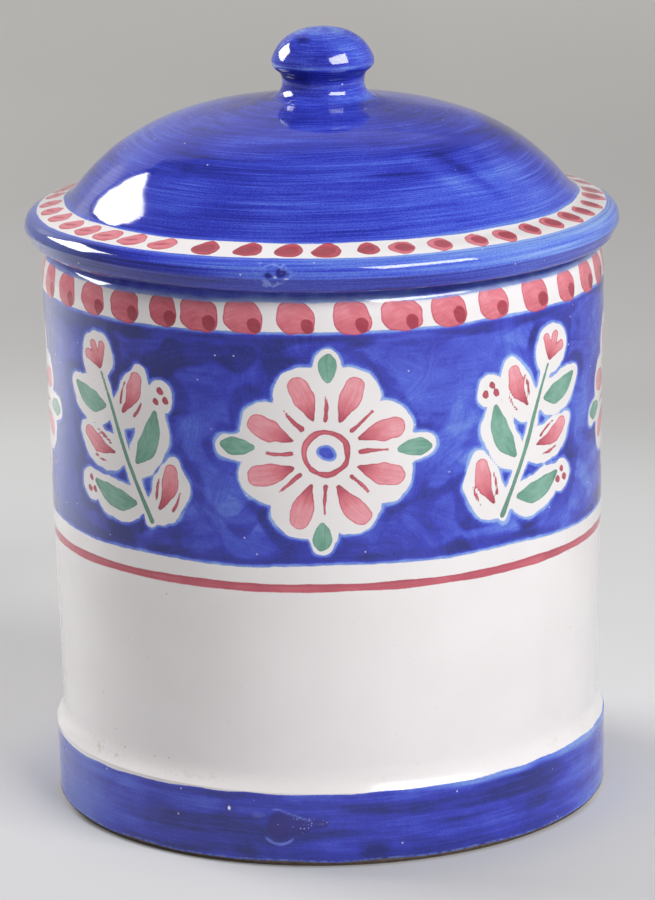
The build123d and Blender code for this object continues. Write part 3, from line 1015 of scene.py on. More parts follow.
def base_material():
    m = Mat("painted_foot")
    white = white_glaze(m)
    wobble = m.add(m.mad(m.noise(m.pos, 900.0, 2.0, 0.6), 0.5, -0.25), m.mad(m.noise(m.pos, 260.0, 2.0), 0.44, -0.22))
    blue = m.add(m.attr("blue"), m.mul(wobble, 0.45))
    broad = m.noise(m.polar(5.0, m.z, 60.0), 1.0, 3.0, 0.55, 0.5)
    rings = m.noise(m.polar(3.2, m.z, 420.0), 1.0, 3.0, 0.6, 0.3)
    fine = m.noise(m.polar(7.0, m.z, 1700.0), 1.0, 3.0, 0.6)
    tone = m.attr("deep")
    tone = m.mad(m.sub(broad, 0.5), 0.36, tone)
    tone = m.mad(m.sub(rings, 0.5), 0.28, tone)
    tone = m.mad(m.sub(fine, 0.5), 0.40, tone)
    tone = m.mad(m.sub(m.noise(m.pos, 70.0, 3.0, 0.6, 0.6), 0.5), 0.34, tone)
    tone = m.mad(m.sub(m.noise(m.pos, 1500.0, 2.0, 0.6), 0.5), 0.26, tone)
    tone = m.math("MAXIMUM", tone, 0.02)
    col = m.mix(m.step(blue, -0.10, 0.2), white, blue_paint(m, tone))
    specks = pin_specks(m, 135.0, 0.050)
    # a heavy drop of colour, its tail full of tiny bubbles
    blot = m.mad(m.noise(m.pos, 300.0, 3.0), 1.2, -0.6)
    drop = m.add(m.attr("drop"), m.mul(blot, 0.7))
    col = m.mix(m.mul(m.step(drop, -0.5, 1.1), 0.88), col, (0.020, 0.014, 0.180))
    d, _ = m.cells(950.0)
    foam = m.mul(m.step(d, 0.18, 0.26, 1.0, 0.0), m.attr("foam"))
    col = m.mix(m.mul(foam, 0.8), col, (0.34, 0.40, 0.82))
    # painted highlights round the drop, in a lighter blue
    glint = m.step(m.add(m.attr("glint"), m.mul(blot, 0.35)), 0.15, 0.95)
    col = m.mix(m.mul(glint, 0.72), col, (0.17, 0.24, 0.76))
    col = m.mix(m.mul(specks, 0.65), col, (0.62, 0.66, 0.80))
    # one pinhole on the left where the white shows, in a pale ring
    hole = m.oval(-20.9, 17.95, 0.55, 0.80)
    col = m.mix(m.mul(m.step(hole, 1.4, 2.0, 0.0, 1.0), m.step(hole, 2.6, 3.6, 1.0, 0.0), 0.45), col, (0.024, 0.018, 0.22))
    col = m.mix(m.step(hole, 0.6, 1.1, 1.0, 0.0), col, (0.86, 0.88, 0.92))
    # glaze ends just above the table: a pale broken edge, a line of bare clay, its lowest part darkened as painted
    # contact shade
    bare = m.add(m.attr("bare"), m.mul(wobble, 0.5))
    clay = m.ramp(m.noise(m.pos, 620.0, 4.0, 0.65), CLAY)
    shaded_clay = m.ramp(m.noise(m.pos, 620.0, 4.0, 0.65), CLAY_IN_SHADE)
    # painted contact shade on the clay just above the table
    clay = m.mix(m.step(m.z, 0.0001, 0.0006), clay, shaded_clay)
    lip = m.mul(m.step(bare, -0.70, -0.25), m.sub(1.0, m.step(bare, -0.1, 0.15)), m.step(m.noise(m.pos, 520.0, 3.0, 0.6), 0.30, 0.75))
    col = m.mix(m.mul(lip, 0.50), col, (0.24, 0.38, 0.78))
    is_bare = m.step(bare, -0.08, 0.16)
    col = m.mix(is_bare, col, clay)
    rough = m.add(0.060, m.mul(m.noise(m.pos, 90.0, 3.0), 0.05), m.mul(is_bare, 0.78))
    grit = m.noise(m.pos, 900.0, 4.0, 0.7)
    height = m.add(m.mul(m.noise(m.pos, 420.0, 2.0), 0.2), m.mul(rings, 0.4), m.mul(fine, 0.2),
                   m.mul(is_bare, grit, 4.0), m.mul(specks, -0.9), m.mul(foam, 0.8))
    return m.shader(col, m.math("MINIMUM", rough, 0.9), m.bump(height, 0.6, 0.00003))


def ring_material():
    m = Mat("ring_glaze")
    white = white_glaze(m)
    z_mm = m.mul(m.z, 1000.0)
    thin = m.mul(m.step(z_mm, 172.6, 171.4), m.step(m.noise(m.pos, 140.0, 4.0, 0.7), 0.40, 0.62))
    clay = m.ramp(m.noise(m.pos, 620.0, 4.0, 0.65), CLAY)
    col = m.mix(m.mul(thin, 0.9), white, clay)
    rings = m.noise(m.polar(2.0, m.z, 600.0), 1.0, 3.0, 0.6)
    rough = m.add(0.075, m.mul(m.noise(m.pos, 90.0, 3.0), 0.05), m.mul(thin, 0.55))
    height = m.add(m.mul(m.noise(m.pos, 420.0, 2.0), 0.25), m.mul(rings, 0.8))
    return m.shader(col, rough, m.bump(height, 0.6, 0.00003))


# =========================================================================
# jar wall
# =========================================================================
def wall_radius(z):
    return 88.9 + (z - 32.0) * 2.35 / 139.0


def make_wall():
    cove = spline([(91.1, 24.1), (89.65, 26.9), (89.0, 29.4), (88.9, 32.0)], 0.7)
    shoulder = spline([(91.25, 171.0), (90.7, 176.6), (89.15, 181.2), (86.9, 184.0)], 0.85)
    parts = [
        (cove, 384),
        (straight((88.9, 32.0), (wall_radius(95.4), 95.4), 5.3), 384),
        (straight((wall_radius(95.4), 95.4), (91.25, 171.0), 0.86), 768),
        (shoulder, 768),
        (straight((86.9, 184.0), (85.2, 184.0), 0.85), 384),
        (spline([(85.2, 184.0), (84.3, 183.3), (84.0, 181.6)], 0.6), 384),
        (straight((84.0, 181.6), (82.0, 24.1), 10.5), 384),
        (straight((82.0, 24.1), (91.1, 24.1), 3.0), 384),
    ]
    pts, cols = [], []
    for run, n in parts:
        for q in run:
            if pts and np.hypot(*(np.array(pts[-1]) - q)) < 1e-6:
                continue
            pts.append(tuple(q))
            cols.append(n)
    if np.hypot(*(np.array(pts[0]) - np.array(pts[-1]))) < 1e-6:
        pts.pop()
        cols.pop()
    m = Turned(pts, cols, loop=True)
    # the hand of the thrower: slow waves, faint rings, and the glaze's own skin
    outer = smoothstep(24.2, 34.0, m.z) * (1 - smoothstep(178.0, 183.0, m.z)) * (m.nr > 0.5)
    inner = smoothstep(26.0, 40.0, m.z) * (1 - smoothstep(170.0, 181.0, m.z)) * (m.nr < -0.5)
    wave = 0.10 * field(1, m.th, m.z, 190, 60, 24) + 0.022 * field(2, m.th, m.z, 60, 11, 30) \
        + 0.009 * field(3, m.th, m.z, 12, 9, 40)
    wave_in = 0.10 * field(4, m.th, m.z, 240, 30, 24)
    paint_wall(m)
    m.push(outer * (wave - 0.12) + inner * np.minimum(wave_in, 0.2))
    ob = m.build("painted_wall", "jar", wall_material(), uv=wall_uv)
    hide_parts("jar_wall")
    return ob


def wall_uv(m, t, mid, ring, top, low):
    """Front and back halves of the outside one above the other, the inside beside them."""
    arc = np.r_[0, np.cumsum(np.hypot(*np.diff(m.outline, axis=0).T))]
    rim = int(np.argmax((m.outline[:, 1] >= 184 - 1e-6)))            # first ring of the rim's land
    length = arc[rim]
    k = 2.95 / 1024
    out = top <= rim
    out &= ~((low == 0) & (top == len(m.cols) - 1))
    st = np.zeros((len(t), 2))
    half = mid > 0.5
    # halves: -180..0 and 0..180 degrees
    st[:, 0] = np.where(half, t - 0.5, t) * 2 * (284.0 * k) + 0.004
    st[:, 1] = arc[ring] * k + 0.004 + np.where(half, 0.5, 0.0)
    # inside: along v, with its height across
    a2 = arc - length
    total = arc[-1] - length + 9.1
    closing = (low == 0) & (top == len(m.cols) - 1)
    across = np.where(closing & (ring == 0), total, a2[ring])
    st_in = np.stack([0.832 + np.clip(across / total, 0, 1) * 0.160, 0.004 + t * 0.985], -1)
    return np.where(out[:, None], st, st_in)


# =========================================================================
# jar base
# =========================================================================
def make_base():
    under = spline([(75.0, 4.0), (77.5, 2.6), (79.5, 0.0)], 0.7)
    bowl = spline([(82.0, 24.1), (81.1, 17.6), (77.4, 12.9), (71.0, 11.0)], 1.2)
    runs = [
        (np.array([(0.0, 4.0), (12.0, 4.0), (24.0, 4.0)]), 96),
        (straight((36.0, 4.0), (75.0, 4.0), 6.5), 192),
        (under, 384),
        (straight((79.5, 0.0), (89.6, 0.0), 2.5), 384),
        (spline([(89.6, 0.0), (90.05, 0.16), (90.45, 0.5), (90.78, 0.95), (90.9, 1.3)], 0.3), 768),
        (straight((90.9, 1.3), (91.1, 24.1), 0.55), 768),
        (straight((91.1, 24.1), (82.0, 24.1), 3.0), 384),
        (bowl, 384),
        (straight((71.0, 11.0), (36.0, 11.0), 6.0), 192),
        (np.array([(24.0, 11.0), (12.0, 11.0), (0.0, 11.0)]), 96),
    ]
    pts, cols = [], []
    for run, n in runs:
        for q in run:
            if pts and np.hypot(*(np.array(pts[-1]) - q)) < 1e-6:
                continue
            pts.append(tuple(q))
            cols.append(n)
    m = Turned(pts, cols)
    th, z = m.th, m.z
    side = (m.nr > 0.6) & (m.r > 88)
    blue = np.where(side | ((m.nr > 0.1) & (m.r > 89)), foot_edge(th) - z, -9.0)
    u = th * 91.0
    deep = band_tone(th, z)
    # one heavy drop of colour on the front, drawn out to the right
    dx = u - math.radians(-10.6) * 91.0
    dz = z - 13.3
    head = 4.4 * (1 - np.hypot(dx / 4.2, dz / 4.9))
    f = np.clip(dx / 14.5, 0, 1)
    tail = (4.4 - 2.9 * f) - np.hypot(np.where(dx < 0, -dx, np.maximum(dx - 14.5, 0)), dz - 0.9 * f)
    tail = np.minimum(tail, 1.1)
    drop = np.maximum(head, tail - 0.2) + 0.12 * field(54, th, z, 9, 9, 20)
    drop = np.where(side, drop, -9)
    foam = side * smoothstep(0.1, 0.9, tail) * smoothstep(3.6, 6.0, dx)
    # painted glints round it: a crescent below, a thin one over the tail, a patch on the left
    g_r = np.hypot(dx / 0.90, dz - 0.4)
    glint = np.exp(-((g_r - 6.6) / 0.48) ** 2) * smoothstep(-3.2, -4.8, dz) * smoothstep(5.2, 4.0, dx)
    over = np.exp(-((dz - 5.3 + 0.44 * np.maximum(dx, 0) ** 0.95 * 0.9) / 0.42) ** 2) * smoothstep(-3.5, -1.0, dx) * smoothstep(12.5, 9.0, dx)
    patch = smoothstep(0.0, 0.6, 1 - np.hypot((dx + 6.8) / 3.7, (dz - 3.2) / 1.9))
    thin = smoothstep(0.0, 0.9, 1 - np.hypot((dx - 13.2) / 2.6, (dz - 0.8) / 1.2))
    glint = side * np.clip(glint + 0.75 * over + 0.50 * patch + 0.45 * thin, 0, 1)
    bare = np.where(side | ((m.nr > 0.02) & (m.z < 2)), 1.45 + 0.16 * field(55, th, th * 0, 50, 30, 12) - z, 0.0)
    flat = (z < 0.001) & (m.r > 79)
    hollow = (m.r < 82) & (z < 5)
    bare = np.where(flat | hollow, 9.0, bare)
    inside = (z > 10) & (m.r < 88) & ~side
    bare = np.where(inside, -9.0, bare)
    m.attrs.update(blue=blue, deep=np.clip(deep, 0.02, 1), drop=drop, foam=foam, glint=glint, bare=bare)
    push = side * smoothstep(0.6, 3.0, z) * (1 - smoothstep(22.0, 24.1, z)) \
        * (0.06 * field(56, th, z, 90, 30, 24) + 0.02 * field(57, th, z, 25, 6, 30) - 0.10)
    push = push + side * (0.26 * smoothstep(-0.4, 2.6, head) + 0.10 * smoothstep(0.0, 1.0, tail))
    push = np.minimum(push, 0.18 * side + 0.0)
    m.push(push)
    ob = m.build("painted_foot", "jar", base_material(), uv=base_uv)
    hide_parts("jar_base")
    return ob


def base_uv(m, t, mid, ring, top, low):
    """The band in three strips, with the underside and the floor as two discs."""
    arc = np.r_[0, np.cumsum(np.hypot(*np.diff(m.outline, axis=0).T))]
    O = m.outline
    a = int(np.nonzero((np.abs(O[:, 0] - 89.6) < 0.01) & (O[:, 1] < 0.01))[0][0])
    b = int(np.nonzero((np.abs(O[:, 0] - 91.1) < 0.01) & (np.abs(O[:, 1] - 24.1) < 0.01))[0][0])
    band = (low >= a) & (top <= b)
    third = np.minimum((mid * 3).astype(int), 2)
    s_band = (arc[ring] - arc[a]) / (arc[b] - arc[a])
    st_band = np.stack([0.004 + (t * 3 - third) * 0.992, 0.004 + third * 0.130 + s_band * 0.122], -1)
    ang = t * 2 * PI
    r_low = arc[ring] / arc[a] * 0.245
    st_low = np.stack([0.25 + r_low * np.sin(ang), 0.66 + r_low * np.cos(ang)], -1)
    r_up = (arc[-1] - arc[ring]) / (arc[-1] - arc[b]) * 0.245
    st_up = np.stack([0.75 + r_up * np.sin(ang), 0.66 + r_up * np.cos(ang)], -1)
    return np.where(band[:, None], st_band, np.where((top <= a)[:, None], st_low, st_up))


# =========================================================================
# lid dome
# =========================================================================
def make_dome():
    crown = spline([(18.5, 228.9), (27, 227.5), (36, 225.9), (43, 224.4), (51, 221.9), (60, 217.7),
                    (67.6, 212.8), (73.5, 207.6), (77.9, 202.9), (80.4, 200.0), (83.3, 197.6), (87.6, 196.1),
                    (92.0, 194.75), (94.0, 193.75)], 0.72)
    # the roll: a ridge at its upper edge, an upright face, a crease and a straight facet below it
    roll = np.vstack([spline([(94.0, 193.75), (95.2, 192.75), (95.85, 191.6), (96.1, 190.4), (96.25, 188.9)], 0.32)[1:],
                      straight((96.25, 188.9), (94.6, 185.5), 0.42)[1:],
                      spline([(94.6, 185.5), (93.9, 184.6), (92.8, 184.1), (91.3, 184.0)], 0.42)[1:]])
    crown = np.vstack([crown, roll])
    crown[:, 0] = np.minimum(crown[:, 0], 96.3)
    crown[:, 1] = np.maximum(crown[:, 1], 184.0)
    hollow = spline([(75.8, 190), (74.6, 195.6), (71.0, 202.0), (65.0, 208.2), (56.5, 213.6), (46.0, 217.6),
                     (32.0, 220.8), (16.0, 222.1), (0, 222.4)], 3.4)
    pts, cols = [], []

    def add(run, pick):
        for q in run:
            if pts and np.hypot(*(np.array(pts[-1]) - q)) < 1e-6:
                continue
            pts.append((float(q[0]), float(q[1])))
            cols.append(pick(q))

    add(np.array([(0.0, 228.9), (6.0, 228.9), (12.0, 228.9), (18.5, 228.9)]), lambda q: 96)
    coarse = crown[crown[:, 0] < 81.0]
    coarse = np.vstack([coarse[:1], coarse[2::2]])
    add(coarse, lambda q: 192 if q[0] < 26 else 384)
    fine = crown[(crown[:, 0] >= 81.0) | ((crown[:, 1] < 198) & (crown[:, 0] > 82))]
    add(fine, lambda q: 768)
    add(straight((91.3, 184.0), (75.8, 184.0), 3.1), lambda q: 384)
    add(straight((75.8, 184.0), (75.8, 190.0), 2.0), lambda q: 384)
    add(hollow, lambda q: 384 if q[0] > 50 else 192 if q[0] > 20 else 96)
    m = Turned(pts, cols)
    th, z, r = m.th, m.z, m.r
    arc_f = int(np.nonzero((np.abs(m.outline[:, 0] - 91.3) < 0.01) & (m.outline[:, 1] < 184.01))[0][0])
    outer = m.ring <= arc_f
    # ---- painting: blue, white band with dabs, blue roll ----
    ring_g = 83.35 + 0.12 * field(61, th, th * 0, 60, 40, 12)
    ring_f = 92.05 + 0.20 * field(62, th, th * 0, 90, 40, 10) + 0.05 * field(63, th, th * 0, 18, 40, 10)
    on_top = (m.nz > 0.0) & outer
    dist = np.where(z > 195.5 + 0 * z, ring_g - r, r - ring_f)
    mid_r = (ring_g + ring_f) / 2
    blue = np.where(r < mid_r, ring_g - r, r - ring_f)
    blue = np.where(on_top, blue, 5.0)
    blue = np.where(outer, blue, -9.0)
    # dabs
    rose = np.full(len(th), -9.0)
    tone = np.full(len(th), 0.3)
    su, sv = np.zeros(len(th)), np.zeros(len(th))
    core, core_tone = np.full(len(th), -9.0), np.full(len(th), 0.3)
    front = [-110.0, -104.7, -97.5, -88.2, -80.0, -72.0, -64.0, -56.7, -49.5, -42.0, -34.0, -24.0, -15.0, -6.7, 0.7,
             9.1, 15.8, 24.0, 32.4, 39.6, 47.2, 54.8, 62.4, 69.5]
    degs, rng = around(front, 8.3, 9)
    band = np.nonzero(on_top & (r > 81) & (r < 95))[0]
    for k, deg in enumerate(degs):
        c = math.radians(deg)
        du = ((th[band] - c + PI) % (2 * PI) - PI) * 87.6
        dr = r[band] - (87.65 + rng.normal(0, 0.2))
        sel = np.abs(du) < 9
        i = band[sel]
        a, b = du[sel], dr[sel]
        wrapped = (deg + 180) % 360 - 180
        right = wrapped > 12
        back = abs(wrapped) > 80
        # drawn outwards and to the left, from a round end to a point
        turn = (0.33 if not right else -0.42) + rng.normal(0, 0.06)
        ca, sa = math.cos(turn), math.sin(turn)
        p, q = a * ca - b * sa, a * sa + b * ca
        small = 0.84 if deg == 9.1 else 1.0
        w = (4.95 + rng.normal(0, 0.25)) * small
        h = (3.55 + rng.normal(0, 0.12)) * small
        if -29 < wrapped < 80:
            w, h = w * (0.80 if right else 0.90), h * 1.09
        taper = 1 - 0.22 * np.clip(-p / w, -0.4, 1)
        ins = dot_shape(p, q / taper, w, h, 2.1)
        ins += 0.12 * field(800 + k, th[i], r[i], 8, 6, 20)
        if wrapped < -29:            # thin colour with a dark streak down the middle
            middle = dot_shape(p + 0.6, q + 0.2, w * 0.66, 0.95, 2.0)
            tn, more = 0.30 + 0.24 * smoothstep(0.45 * h, 0.95 * h, q), 0.34
        elif not right:              # loaded, with a lighter lower edge
            middle = dot_shape(p + 0.4, q + 0.45, w * 0.84, h * 0.74, 2.1)
            tn, more = 0.74 - 0.16 * smoothstep(0.2 * h, 0.8 * h, -q), 0.24
        else:
            middle = dot_shape(p - 0.9, q + 0.45, w * 0.74, h * 0.70, 2.0)
            tn, more = 0.34 + 0.0 * q, 0.50
        win = ins > rose[i]
        j = i[win]
        rose[j] = ins[win]
        core[j] = middle[win]
        core_tone[j] = more
        tone[j] = tn[win] + rng.normal(0, 0.03)
        su[j] = p[win] + 7.0 * k
        sv[j] = q[win] + 2.1 * k
    # ---- tone of the blue ----
    right_side = np.exp(-((((th - 0.90 + PI) % (2 * PI)) - PI) / 0.55) ** 2)
    left_side = np.exp(-((((th + 1.00 + PI) % (2 * PI)) - PI) / 0.62) ** 2)
    deep = 0.715 + 0.04 * field(64, th, m.s, 150, 60, 24) - 0.24 * right_side * smoothstep(62, 72, r)
    deep += 0.05 * smoothstep(64, 50, r) * smoothstep(0.15, 0.6, th) * smoothstep(2.8, 2.2, th)
    deep -= 0.04 * smoothstep(63, 67, r) * smoothstep(82, 76, r) * smoothstep(0.75, 0.95, th) * smoothstep(1.6, 1.2, th)
    deep += 0.25 * smoothstep(50, 56, r) * smoothstep(84, 73, r) * smoothstep(1.0, 1.25, th) * smoothstep(2.3, 1.7, th)
    deep += 0.05 * smoothstep(60, 66, r) * smoothstep(-0.75, -1.05, th) * smoothstep(-2.4, -1.8, th)
    # painted reflection: the upper left of the dome is made lighter, for the sheen of the far paper there
    deep -= 0.12 * smoothstep(36, 48, r) * smoothstep(70, 60, r) * smoothstep(-0.95, -1.15, th) * smoothstep(-2.6, -2.2, th)
    deep += 0.05 * smoothstep(40, 19, r) * on_top                    # gathers round the knob
    # a few strokes that start or stop where the brush was charged again
    for deg, rr, half, wdt, amt in ((12.0, 60.5, 0.42, 0.55, -0.20), (20.0, 59.0, 0.30, 0.40, -0.14), (-4.0, 73.6, 0.40, 0.50, -0.20),
                                    (10.0, 74.8, 0.30, 0.35, -0.14), (-20.0, 66.0, 0.5, 0.8, 0.12), (30.0, 66.0, 0.35, 1.4, 0.14),
                                    (48.0, 58.0, 0.30, 1.4, 0.09), (60.0, 63.0, 0.22, 1.2, 0.10), (-35.0, 61.0, 0.4, 0.6, -0.12),
                                    (150.0, 66.0, 0.5, 0.8, -0.16), (-120.0, 60.0, 0.4, 1.2, 0.14), (110.0, 50.0, 0.4, 0.8, 0.14)):
        da = (th - math.radians(deg) + PI) % (2 * PI) - PI
        deep += amt * smoothstep(half, half * 0.5, np.abs(da)) * np.exp(-((r - rr - 1.5 * da) / wdt) ** 2) * on_top
    # a lighter wedge on the right of the front, with a dark stroke beside it
    wedge = (th - (0.50 + 0.012 * (r - 60.0))) * 66.0
    deep -= 0.13 * np.exp(-(wedge / (5.5 - 0.16 * (r - 58.0))) ** 2) * smoothstep(56.0, 60.0, r) * smoothstep(76.0, 70.0, r) * on_top
    wedge = (th - (0.66 + 0.010 * (r - 60.0))) * 66.0
    deep += 0.17 * np.exp(-(wedge / 2.6) ** 2) * smoothstep(57.0, 61.0, r) * smoothstep(79.0, 73.0, r) * on_top
    # dry patch and pinhole on the right shoulder
    def spot(deg, rr, size_u, size_r):
        du = ((th - math.radians(deg) + PI) % (2 * PI) - PI) * np.maximum(r, 1)
        return np.exp(-((du / size_u) ** 2 + ((r - rr) / size_r) ** 2)) * on_top
    deep += 0.15 * spot(-38, 60.5, 15.0, 5.0) + 0.07 * spot(51, 52.5, 6.5, 3.0) + 0.05 * spot(44, 57, 9, 3.5)
    deep -= 0.22 * spot(38.7, 42.5, 3.6, 2.2)
    pit = spot(38.7, 42.5, 0.75, 0.75)
    roll = r > 92.3
    facet = smoothstep(189.2, 188.6, z)
    # painted reflection: the roll is made lighter on its right side
    on_roll_tone = 0.48 - 0.25 * right_side + 0.55 * left_side + 0.09 * field(65, th, m.s, 160, 3, 24)
    on_roll_tone = on_roll_tone - 0.07 * smoothstep(191.5, 193.5, z)
    # painted shade: the downward facet below the crease is made deeper than the face above it
    on_roll_tone = on_roll_tone * (1 - facet) + facet * (0.76 - 0.20 * right_side + 0.14 * left_side + 0.05 * field(71, th, m.s, 160, 2, 24))
    deep = np.where(outer & (r > 92) & (m.nz < 0.92), on_roll_tone, deep)
    # blemish on the roll: two pits in a low swelling
    def on_roll(deg, zz, su_, sz_):
        du = ((th - math.radians(deg) + PI) % (2 * PI) - PI) * 96
        return np.exp(-((du / su_) ** 2 + ((z - zz) / sz_) ** 2)) * (roll & outer)
    swell = on_roll(-9.0, 190.2, 4.8, 2.0) * 0.7
    sink = pit + np.maximum(on_roll(-10.0, 190.1, 1.1, 0.9), on_roll(-7.5, 190.8, 1.6, 1.3))
    inner = np.where(outer, 0.0, 1.0)
    seat = np.where((z < 184.05) & (r < 90.5) & (r > 80.5), 1.0, 0.0)
    m.attrs.update(s=m.s * MM, blue=blue, deep=np.clip(deep, 0.02, 1), rose=rose, tone=np.clip(tone, 0, 1),
                   core=core, core_tone=core_tone,
                   su=su * MM, sv=sv * MM, pit=np.clip(pit, 0, 1), inner=inner, seat=seat)
    # ---- relief: slow waves, throwing rings, pits ----
    calm = np.where(outer, smoothstep(18.6, 24.0, r), 0.0) * smoothstep(184.3, 186.0, z)
    top = (r < 83) & outer
    wave = 0.10 * field(66, th, m.s, 150, 60, 24) + 0.012 * field(67, th, m.s, 90, 7, 30) \
        + 0.007 * field(68, th, m.s, 14, 8, 40)
    wave_roll = 0.05 * field(69, th, m.s, 120, 30, 24) + 0.007 * field(70, th, m.s, 40, 4, 30)
    push = calm * np.where(top, wave - 0.05, np.minimum(wave_roll, 0.12) - 0.12)
    push = push - 0.28 * np.clip(sink, 0, 1) * outer + 0.10 * np.clip(swell, 0, 1) * outer
    m.push(push)
    m.r = np.minimum(m.r, 96.3)
    # the roll is a little thinner on the left: its crease and lower edge ride up there
    m.z = m.z + np.where(outer, 1.15 * left_side * smoothstep(192.5, 187.8, z) * smoothstep(91.3, 93.4, r) * (r > 91.3), 0.0)
    ob = m.build("lid_dome_painted", "lid", lid_material("lid_glaze", "dome"), uv=dome_uv)
    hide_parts("lid_dome")
    return ob


def dome_uv(m, t, mid, ring, top, low):
    """Outside as one large disc, inside as a small one in the corner."""
    arc = np.r_[0, np.cumsum(np.hypot(*np.diff(m.outline, axis=0).T))]
    O = m.outline
    a = int(np.nonzero((np.abs(O[:, 0] - 91.3) < 0.01) & (O[:, 1] < 184.01))[0][0])
    ang = t * 2 * PI
    r_out = arc[ring] / arc[a] * 0.395
    r_in = (arc[-1] - arc[ring]) / (arc[-1] - arc[a]) * 0.148
    st_out = np.stack([0.40 + r_out * np.sin(ang), 0.60 + r_out * np.cos(ang)], -1)
    st_in = np.stack([0.85 + r_in * np.sin(ang), 0.15 + r_in * np.cos(ang)], -1)
    return np.where((top <= a)[:, None], st_out, st_in)


# =========================================================================
# locating ring and knob
# =========================================================================
def make_ring():
    low = spline([(80.4, 173.7), (79.7, 172.1), (78.3, 171.5), (76.9, 172.1), (76.2, 173.7)], 0.4)
    pts = chain(straight((75.8, 184.0), (80.8, 184.0), 1.7), straight((80.8, 184.0), (80.4, 173.7), 1.2), low,
                straight((76.2, 173.7), (75.8, 184.0), 1.5))[:-1]
    m = Turned(pts, [384] * len(pts), loop=True)
    calm = (1 - smoothstep(181.0, 183.9, m.z))
    m.push(calm * (np.minimum(0.10 * field(81, m.th, m.z, 90, 20, 24), 0.2) - 0.15))
    m.z = np.maximum(m.z, 171.5)
    ob = m.build("lid_ring_glazed", "lid", ring_material())
    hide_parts("lid_locating_ring")
    return ob


def make_knob():
    cap = spline([(0.0, 251.6), (5.0, 251.25), (9.6, 249.7), (13.8, 246.6), (16.2, 242.8), (16.75, 240.4),
                  (15.8, 238.4), (14.3, 237.1), (13.5, 234.7), (13.6, 232.7), (14.6, 230.8), (16.2, 229.35),
                  (17.0, 228.9)], 0.42)
    cap[0, 0] = 0.0
    cap[:, 1] = np.minimum(cap[:, 1], 251.6)
    pts = chain(cap, straight((17.0, 228.9), (0.0, 228.9), 4.3))
    cols = [48 if r < 2.5 else 96 if r < 5.5 else 192 for r, z in pts]
    m = Turned(pts, cols)
    th, z, r = m.th, m.z, m.r
    deep = 0.68 + 0.05 * field(91, th, m.s, 40, 12, 24, radius=15.0)

    def mark(deg, rr, wide, tall):
        du = ((th - math.radians(deg) + PI) % (2 * PI) - PI) * np.maximum(r, 1)
        return np.exp(-((du / wide) ** 2 + ((r - rr) / tall) ** 2)) * (z > 242)
    # painted shade: colour deeper under the cap's overhang; a thin line of bare-looking glaze on its edge
    deep += 0.26 * smoothstep(239.35, 238.9, z) * smoothstep(234.2, 236.0, z)
    deep -= 0.34 * np.exp(-((z - 240.15) / 0.55) ** 2) * (0.8 + 0.3 * field(94, th, th * 0, 14, 10, 10, radius=15.0))
    # the top: thinner colour, one dark blot and a few light strokes
    deep -= 0.22 * smoothstep(11.5, 7.5, r) * (z > 245)
    deep += 0.42 * mark(-31, 11.3, 2.2, 0.85) + 0.14 * mark(-12, 9.6, 3.4, 0.8)
    deep -= 0.20 * mark(6, 10.6, 5.0, 0.9) + 0.16 * mark(-62, 12.0, 3.0, 1.2)
    deep -= 0.16 * np.exp(-((((th + 1.5 + PI) % (2 * PI)) - PI) / 0.40) ** 2) * (z > 240)
    deep -= 0.18 * np.exp(-((((th - 1.0 + PI) % (2 * PI)) - PI) / 0.60) ** 2)
    deep += 0.06 * smoothstep(230.6, 229.2, z)
    m.attrs.update(s=m.s * MM, blue=np.full(len(th), 9.0), deep=np.clip(deep, 0, 1))
    calm = smoothstep(229.0, 231.0, z) * (z < 251.5)
    m.push(calm * (np.minimum(0.05 * field(92, th, m.s, 60, 20, 24, radius=15.0), 0.12)
                   + 0.003 * field(93, th, m.s, 60, 2.5, 24, radius=15.0) - 0.14))
    ob = m.build("lid_knob_turned", "lid", lid_material("knob_glaze", "knob"), dx=1.2)
    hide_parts("lid_knob")
    return ob


wall = make_wall()
base = make_base()
dome = make_dome()
ring = make_ring()
knob = make_knob()


# =========================================================================
# stage: a pale floor that turns up into a far wall, and soft studio light
# =========================================================================
GLOW_FRONT, GLOW_BACK = 0.08, 0.205
# paper tone by distance from the jar: a painted gradient of light and shade over the floor
FLOOR = [(0.0, (0.530, 0.530, 0.542)), (0.10, (0.530, 0.529, 0.535)), (0.16, (0.515, 0.512, 0.512)),
         (0.22, (0.465, 0.460, 0.458)), (0.27, (0.430, 0.425, 0.422)), (0.38, (0.430, 0.423, 0.416)),
         (0.53, (0.480, 0.470, 0.458)), (0.70, (0.560, 0.548, 0.532)), (1.0, (0.600, 0.585, 0.565))]


